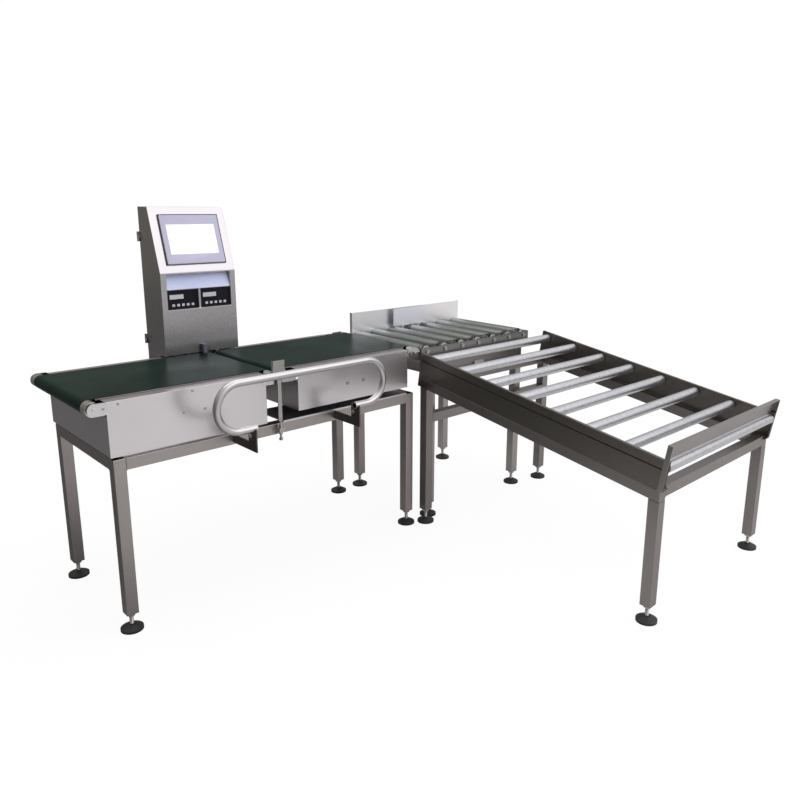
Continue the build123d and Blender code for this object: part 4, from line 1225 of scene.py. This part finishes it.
@dataclass
class Fixings:
    """Screws on the casings, threads on the feet and welds on the frames."""

    rules: Rules
    paints: Paintbox
    nodes: dict[str, bpy.types.Object]
    round_limit: float = 0.005
    screw_height: float = 0.0026
    sunk: float = 0.0002
    pad_clear: float = 0.0005
    thread_length: float = 0.0285
    pitch: float = 0.0019
    tube_width: float = 0.038
    width_slack: float = 0.001

    def build(self) -> None:
        """Build all of them."""
        self.screws()
        self.threads()
        self.welds()

    def screws(self) -> None:
        """Put a slotted head on each small screw and a hexagon head on each bolt."""
        heads: dict[bool, list[tuple[Point, Point, float, float]]] = {True: [], False: []}
        for low, high in islands(self.nodes["fasteners"]):
            span = high - low
            middle = (low + high) / 2.0
            along = min(range(3), key=lambda axis: span[axis])
            outward = 1.0 if along == 1 and middle.y > 0.0 else -1.0
            axis = Vector((0.0, 0.0, 0.0))
            axis[along] = outward
            foot = middle.copy()
            foot[along] -= outward * (span[along] / 2.0 + self.sunk)
            radius = max(span) / 2.0
            heads[radius < self.round_limit].append((tuple(foot), tuple(axis), radius, span[along]))
        small = self.rules.screw.grow(
            "slotted_screws",
            [head[0] for head in heads[True]],
            self.paints.steel(HARDWARE),
            axes=[head[1] for head in heads[True]],
            Radius=heads[True][0][2],
            Height=self.screw_height,
            Sides=32,
            Slot_Width=0.0011,
            Slot_Depth=0.0012,
            Washer=1.0,
            Seed=11,
        )
        bolts = self.rules.screw.grow(
            "hexagon_bolts",
            [head[0] for head in heads[False]],
            self.paints.steel(HARDWARE),
            axes=[head[1] for head in heads[False]],
            Radius=heads[False][0][2],
            Height=heads[False][0][3],
            Sides=6,
            Slot_Width=0.0008,
            Slot_Depth=0.0004,
            Washer=1.25,
            Seed=5,
        )
        for piece in (small, bolts):
            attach(piece, "stand")
        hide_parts("fasteners")

    def threads(self) -> None:
        """Cut a thread on the open length of each foot stem."""
        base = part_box("feet_pads")[1][2] + self.pad_clear
        places = []
        for low, high in islands(self.nodes["feet_stems"]):
            middle = (low + high) / 2.0
            places.append((middle.x, middle.y, base))
        turns = int(self.thread_length / self.pitch)
        piece = self.rules.thread.grow(
            "stem_threads", places, self.paints.steel(HARDWARE), Pitch=self.pitch, Turns=turns
        )
        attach(piece, "stand")

    def welds(self) -> None:
        """Lay a bead under the ends of each level rail."""
        points: list[Point] = []
        lines: list[tuple[int, int]] = []
        for name in ("scale_frame", "reject_frame", "table_frame"):
            for low, high in islands(self.nodes[name]):
                span = high - low
                if abs(span.z - self.tube_width) > self.width_slack:
                    continue
                along = 0 if span.x > span.y else 1
                across = 1 - along
                for end in (low[along], high[along]):
                    start, stop = Vector((0.0, 0.0, low.z)), Vector((0.0, 0.0, low.z))
                    start[along] = stop[along] = end
                    start[across], stop[across] = low[across], high[across]
                    lines.append((len(points), len(points) + 1))
                    points.extend((tuple(start), tuple(stop)))
        piece = self.rules.bead.grow("weld_beads", points, self.paints.steel(TUBE), lines=lines)
        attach(piece, "stand")


@dataclass
class Console:
    """Marks, seal and hood of the console."""

    rules: Rules
    paints: Paintbox
    centre_x: float = -0.061
    front_y: float = 0.217
    fold_z: float = 1.063
    top_z: float = 1.3
    lean: float = 0.075
    panel_half: float = 0.1155
    panel_low: float = 0.031
    panel_high: float = 0.216
    seal_width: float = 0.0022
    seal_height: float = 0.0062
    module_x: tuple[float, float] = (-0.127, 0.005)
    key_z: float = 0.943
    key_pitch: float = 0.019
    window_z: float = 0.974
    window_shift: float = -0.0247
    mark_thick: float = 0.0004
    hood_half: float = 0.1265
    hood_thick: float = 0.0006
    hood_lift: float = 0.0005
    hood_inset: float = 0.004
    hood_step: float = 0.0025
    hood_depth: float = 0.0279
    hood_top: float = 1.0574

    def leaning(self, across: float, along: float, out: float) -> Vector:
        """Find a place on the leaning face.

        Args:
            across: Distance from the middle, to the right.
            along: Distance up the face from its fold.
            out: Distance out of the face.

        Returns:
            The place.
        """
        up = Vector((0.0, self.lean, self.top_z - self.fold_z)).normalized()
        outward = Vector((0.0, -up.z, up.y))
        return Vector((self.centre_x + across, self.front_y, self.fold_z)) + up * along + outward * out

    def build(self) -> None:
        """Build all of them."""
        self.seal()
        self.marks()
        self.hood()

    def seal(self) -> None:
        """Lay a dark seal around the touch panel."""
        half, wide = self.panel_half + 0.0003, self.seal_width
        low, high = self.panel_low - 0.0003, self.panel_high + 0.0003
        corners = ((-1, low, -1), (1, low, -1), (1, high, 1), (-1, high, 1))
        outer = [self.leaning(s * (half + wide), along + t * wide, 0.0002) for s, along, t in corners]
        inner = [self.leaning(s * half, along, 0.0002) for s, along, _ in corners]
        rise = self.leaning(0.0, 0.0, self.seal_height) - self.leaning(0.0, 0.0, 0.0)
        piece = ring("panel_seal", outer, inner, rise, self.paints.moulded(BLACK_CASE))
        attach(piece, "stand")

    def marks(self) -> None:
        """Print pale key caps and a pale window on each module."""
        face_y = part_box("meter_modules")[0][1]
        keys = [
            (x + (key - 2) * self.key_pitch, face_y - self.mark_thick / 4.0, self.key_z)
            for x in self.module_x
            for key in range(5)
        ]
        windows = [
            (x + self.window_shift, face_y - self.mark_thick / 4.0, self.window_z) for x in self.module_x
        ]
        pale = self.paints.moulded(MARK)
        caps = self.rules.plate.grow("key_caps", keys, pale, Size=(0.010, self.mark_thick, 0.009))
        panes = self.rules.plate.grow("module_windows", windows, pale, Size=(0.054, self.mark_thick, 0.016))
        for piece in (caps, panes):
            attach(piece, "stand")

    def hood(self) -> None:
        """Line the slope under the recess hood with a pale sheet."""
        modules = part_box("meter_modules")
        low = Vector((self.centre_x, self.front_y + self.hood_inset, modules[1][2] + self.hood_step))
        high = Vector((self.centre_x, self.front_y + self.hood_depth, self.hood_top))
        along = high - low
        out = Vector((0.0, -along.z, along.y)).normalized()
        corners = []
        for lift in (self.hood_lift, self.hood_lift + self.hood_thick):
            for side, place in ((-1, low), (1, low), (1, high), (-1, high)):
                corners.append(place + Vector((side * self.hood_half, 0.0, 0.0)) + out * lift)
        faces = [(3, 2, 1, 0), (4, 5, 6, 7), (0, 1, 5, 4), (1, 2, 6, 5), (2, 3, 7, 6), (3, 0, 4, 7)]
        piece = solid("hood_lining", corners, faces, self.paints.moulded(LINING))
        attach(piece, "stand")


@dataclass
class Rollers:
    """Pressed caps on the ends of the gravity and powered rollers."""

    rules: Rules
    paints: Paintbox
    nodes: dict[str, bpy.types.Object]
    sunk: float = 0.0003
    share: float = 0.92

    def build(self) -> None:
        """Cap both ends of each roller."""
        for name in sorted(self.nodes):
            if name.startswith("table_roller_"):
                self.cap(name, 0)
            elif name.startswith("reject_roller_"):
                self.cap(name, 1)

    def cap(self, name: str, along: int) -> None:
        """Cap one roller.

        Args:
            name: Its node and body.
            along: Its axis as a number.
        """
        low, high = (Vector(corner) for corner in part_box(name))
        middle = (low + high) / 2.0
        radius = (high.z - low.z) / 2.0
        points, axes = [], []
        for end, outward in ((low[along] + self.sunk, -1.0), (high[along] - self.sunk, 1.0)):
            place, axis = middle.copy(), Vector((0.0, 0.0, 0.0))
            place[along] = end
            axis[along] = outward
            points.append(tuple(place))
            axes.append(tuple(axis))
        piece = self.rules.cap.grow(
            name + "_caps", points, self.paints.steel(HARDWARE), axes=axes, Radius=radius * self.share
        )
        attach(piece, name)


SOFT_EDGES: dict[str, float] = {
    "infeed_casing": 0.0012, "weigh_casing": 0.0012, "console_cabinet": 0.0012, "console_pedestal": 0.0012,
    "rear_door": 0.001, "touch_panel": 0.0006, "scale_frame": 0.0016, "reject_frame": 0.0016,
    "table_frame": 0.0016, "support_plates": 0.0006, "end_stop": 0.0008, "side_channels": 0.0008,
    "backboard": 0.0008, "pusher_plate": 0.0008, "pusher_carriage": 0.0006, "guard_brackets": 0.0005,
    "belt_beds": 0.0006, "load_cell": 0.0006, "photo_eye": 0.0006, "control_gear": 0.0006,
}


def soften(node: bpy.types.Object, width: float) -> None:
    """Round the sharp edges of a CAD node.

    Args:
        node: The CAD node.
        width: Width of the rounding in metres.
    """
    weld = node.modifiers.new("weld", "WELD")
    weld.merge_threshold = 0.00001
    bevel = node.modifiers.new("bevel", "BEVEL")
    bevel.width = width
    bevel.segments = 2
    bevel.limit_method = "ANGLE"
    bevel.angle_limit = math.radians(40.0)
    bevel.use_clamp_overlap = True


def dress_nodes(nodes: dict[str, bpy.types.Object], paints: Paintbox) -> None:
    """Give every CAD node its finish and soft edges.

    Args:
        nodes: The CAD nodes by name.
        paints: The maker of materials.
    """
    for name, node in nodes.items():
        finish = finish_of(name)
        material = paints.steel(finish) if isinstance(finish, SteelFinish) else paints.moulded(finish)
        if not node.material_slots:
            node.data.materials.append(material)
        for slot in node.material_slots:
            slot.material = material
        if name in SOFT_EDGES:
            soften(node, SOFT_EDGES[name])
        LOG.info("dressed %s with %s", name, finish.name)


def main() -> None:
    """Build and dress the whole line."""
    logging.basicConfig(level=logging.INFO, format="%(message)s")
    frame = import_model()
    paints = Paintbox(Effects())
    rules = Rules()
    dress_nodes(frame["nodes"], paints)
    Fixings(rules, paints, frame["nodes"]).build()
    Console(rules, paints).build()
    Rollers(rules, paints, frame["nodes"]).build()
    Studio().build()


if __name__ == "__main__":
    main()
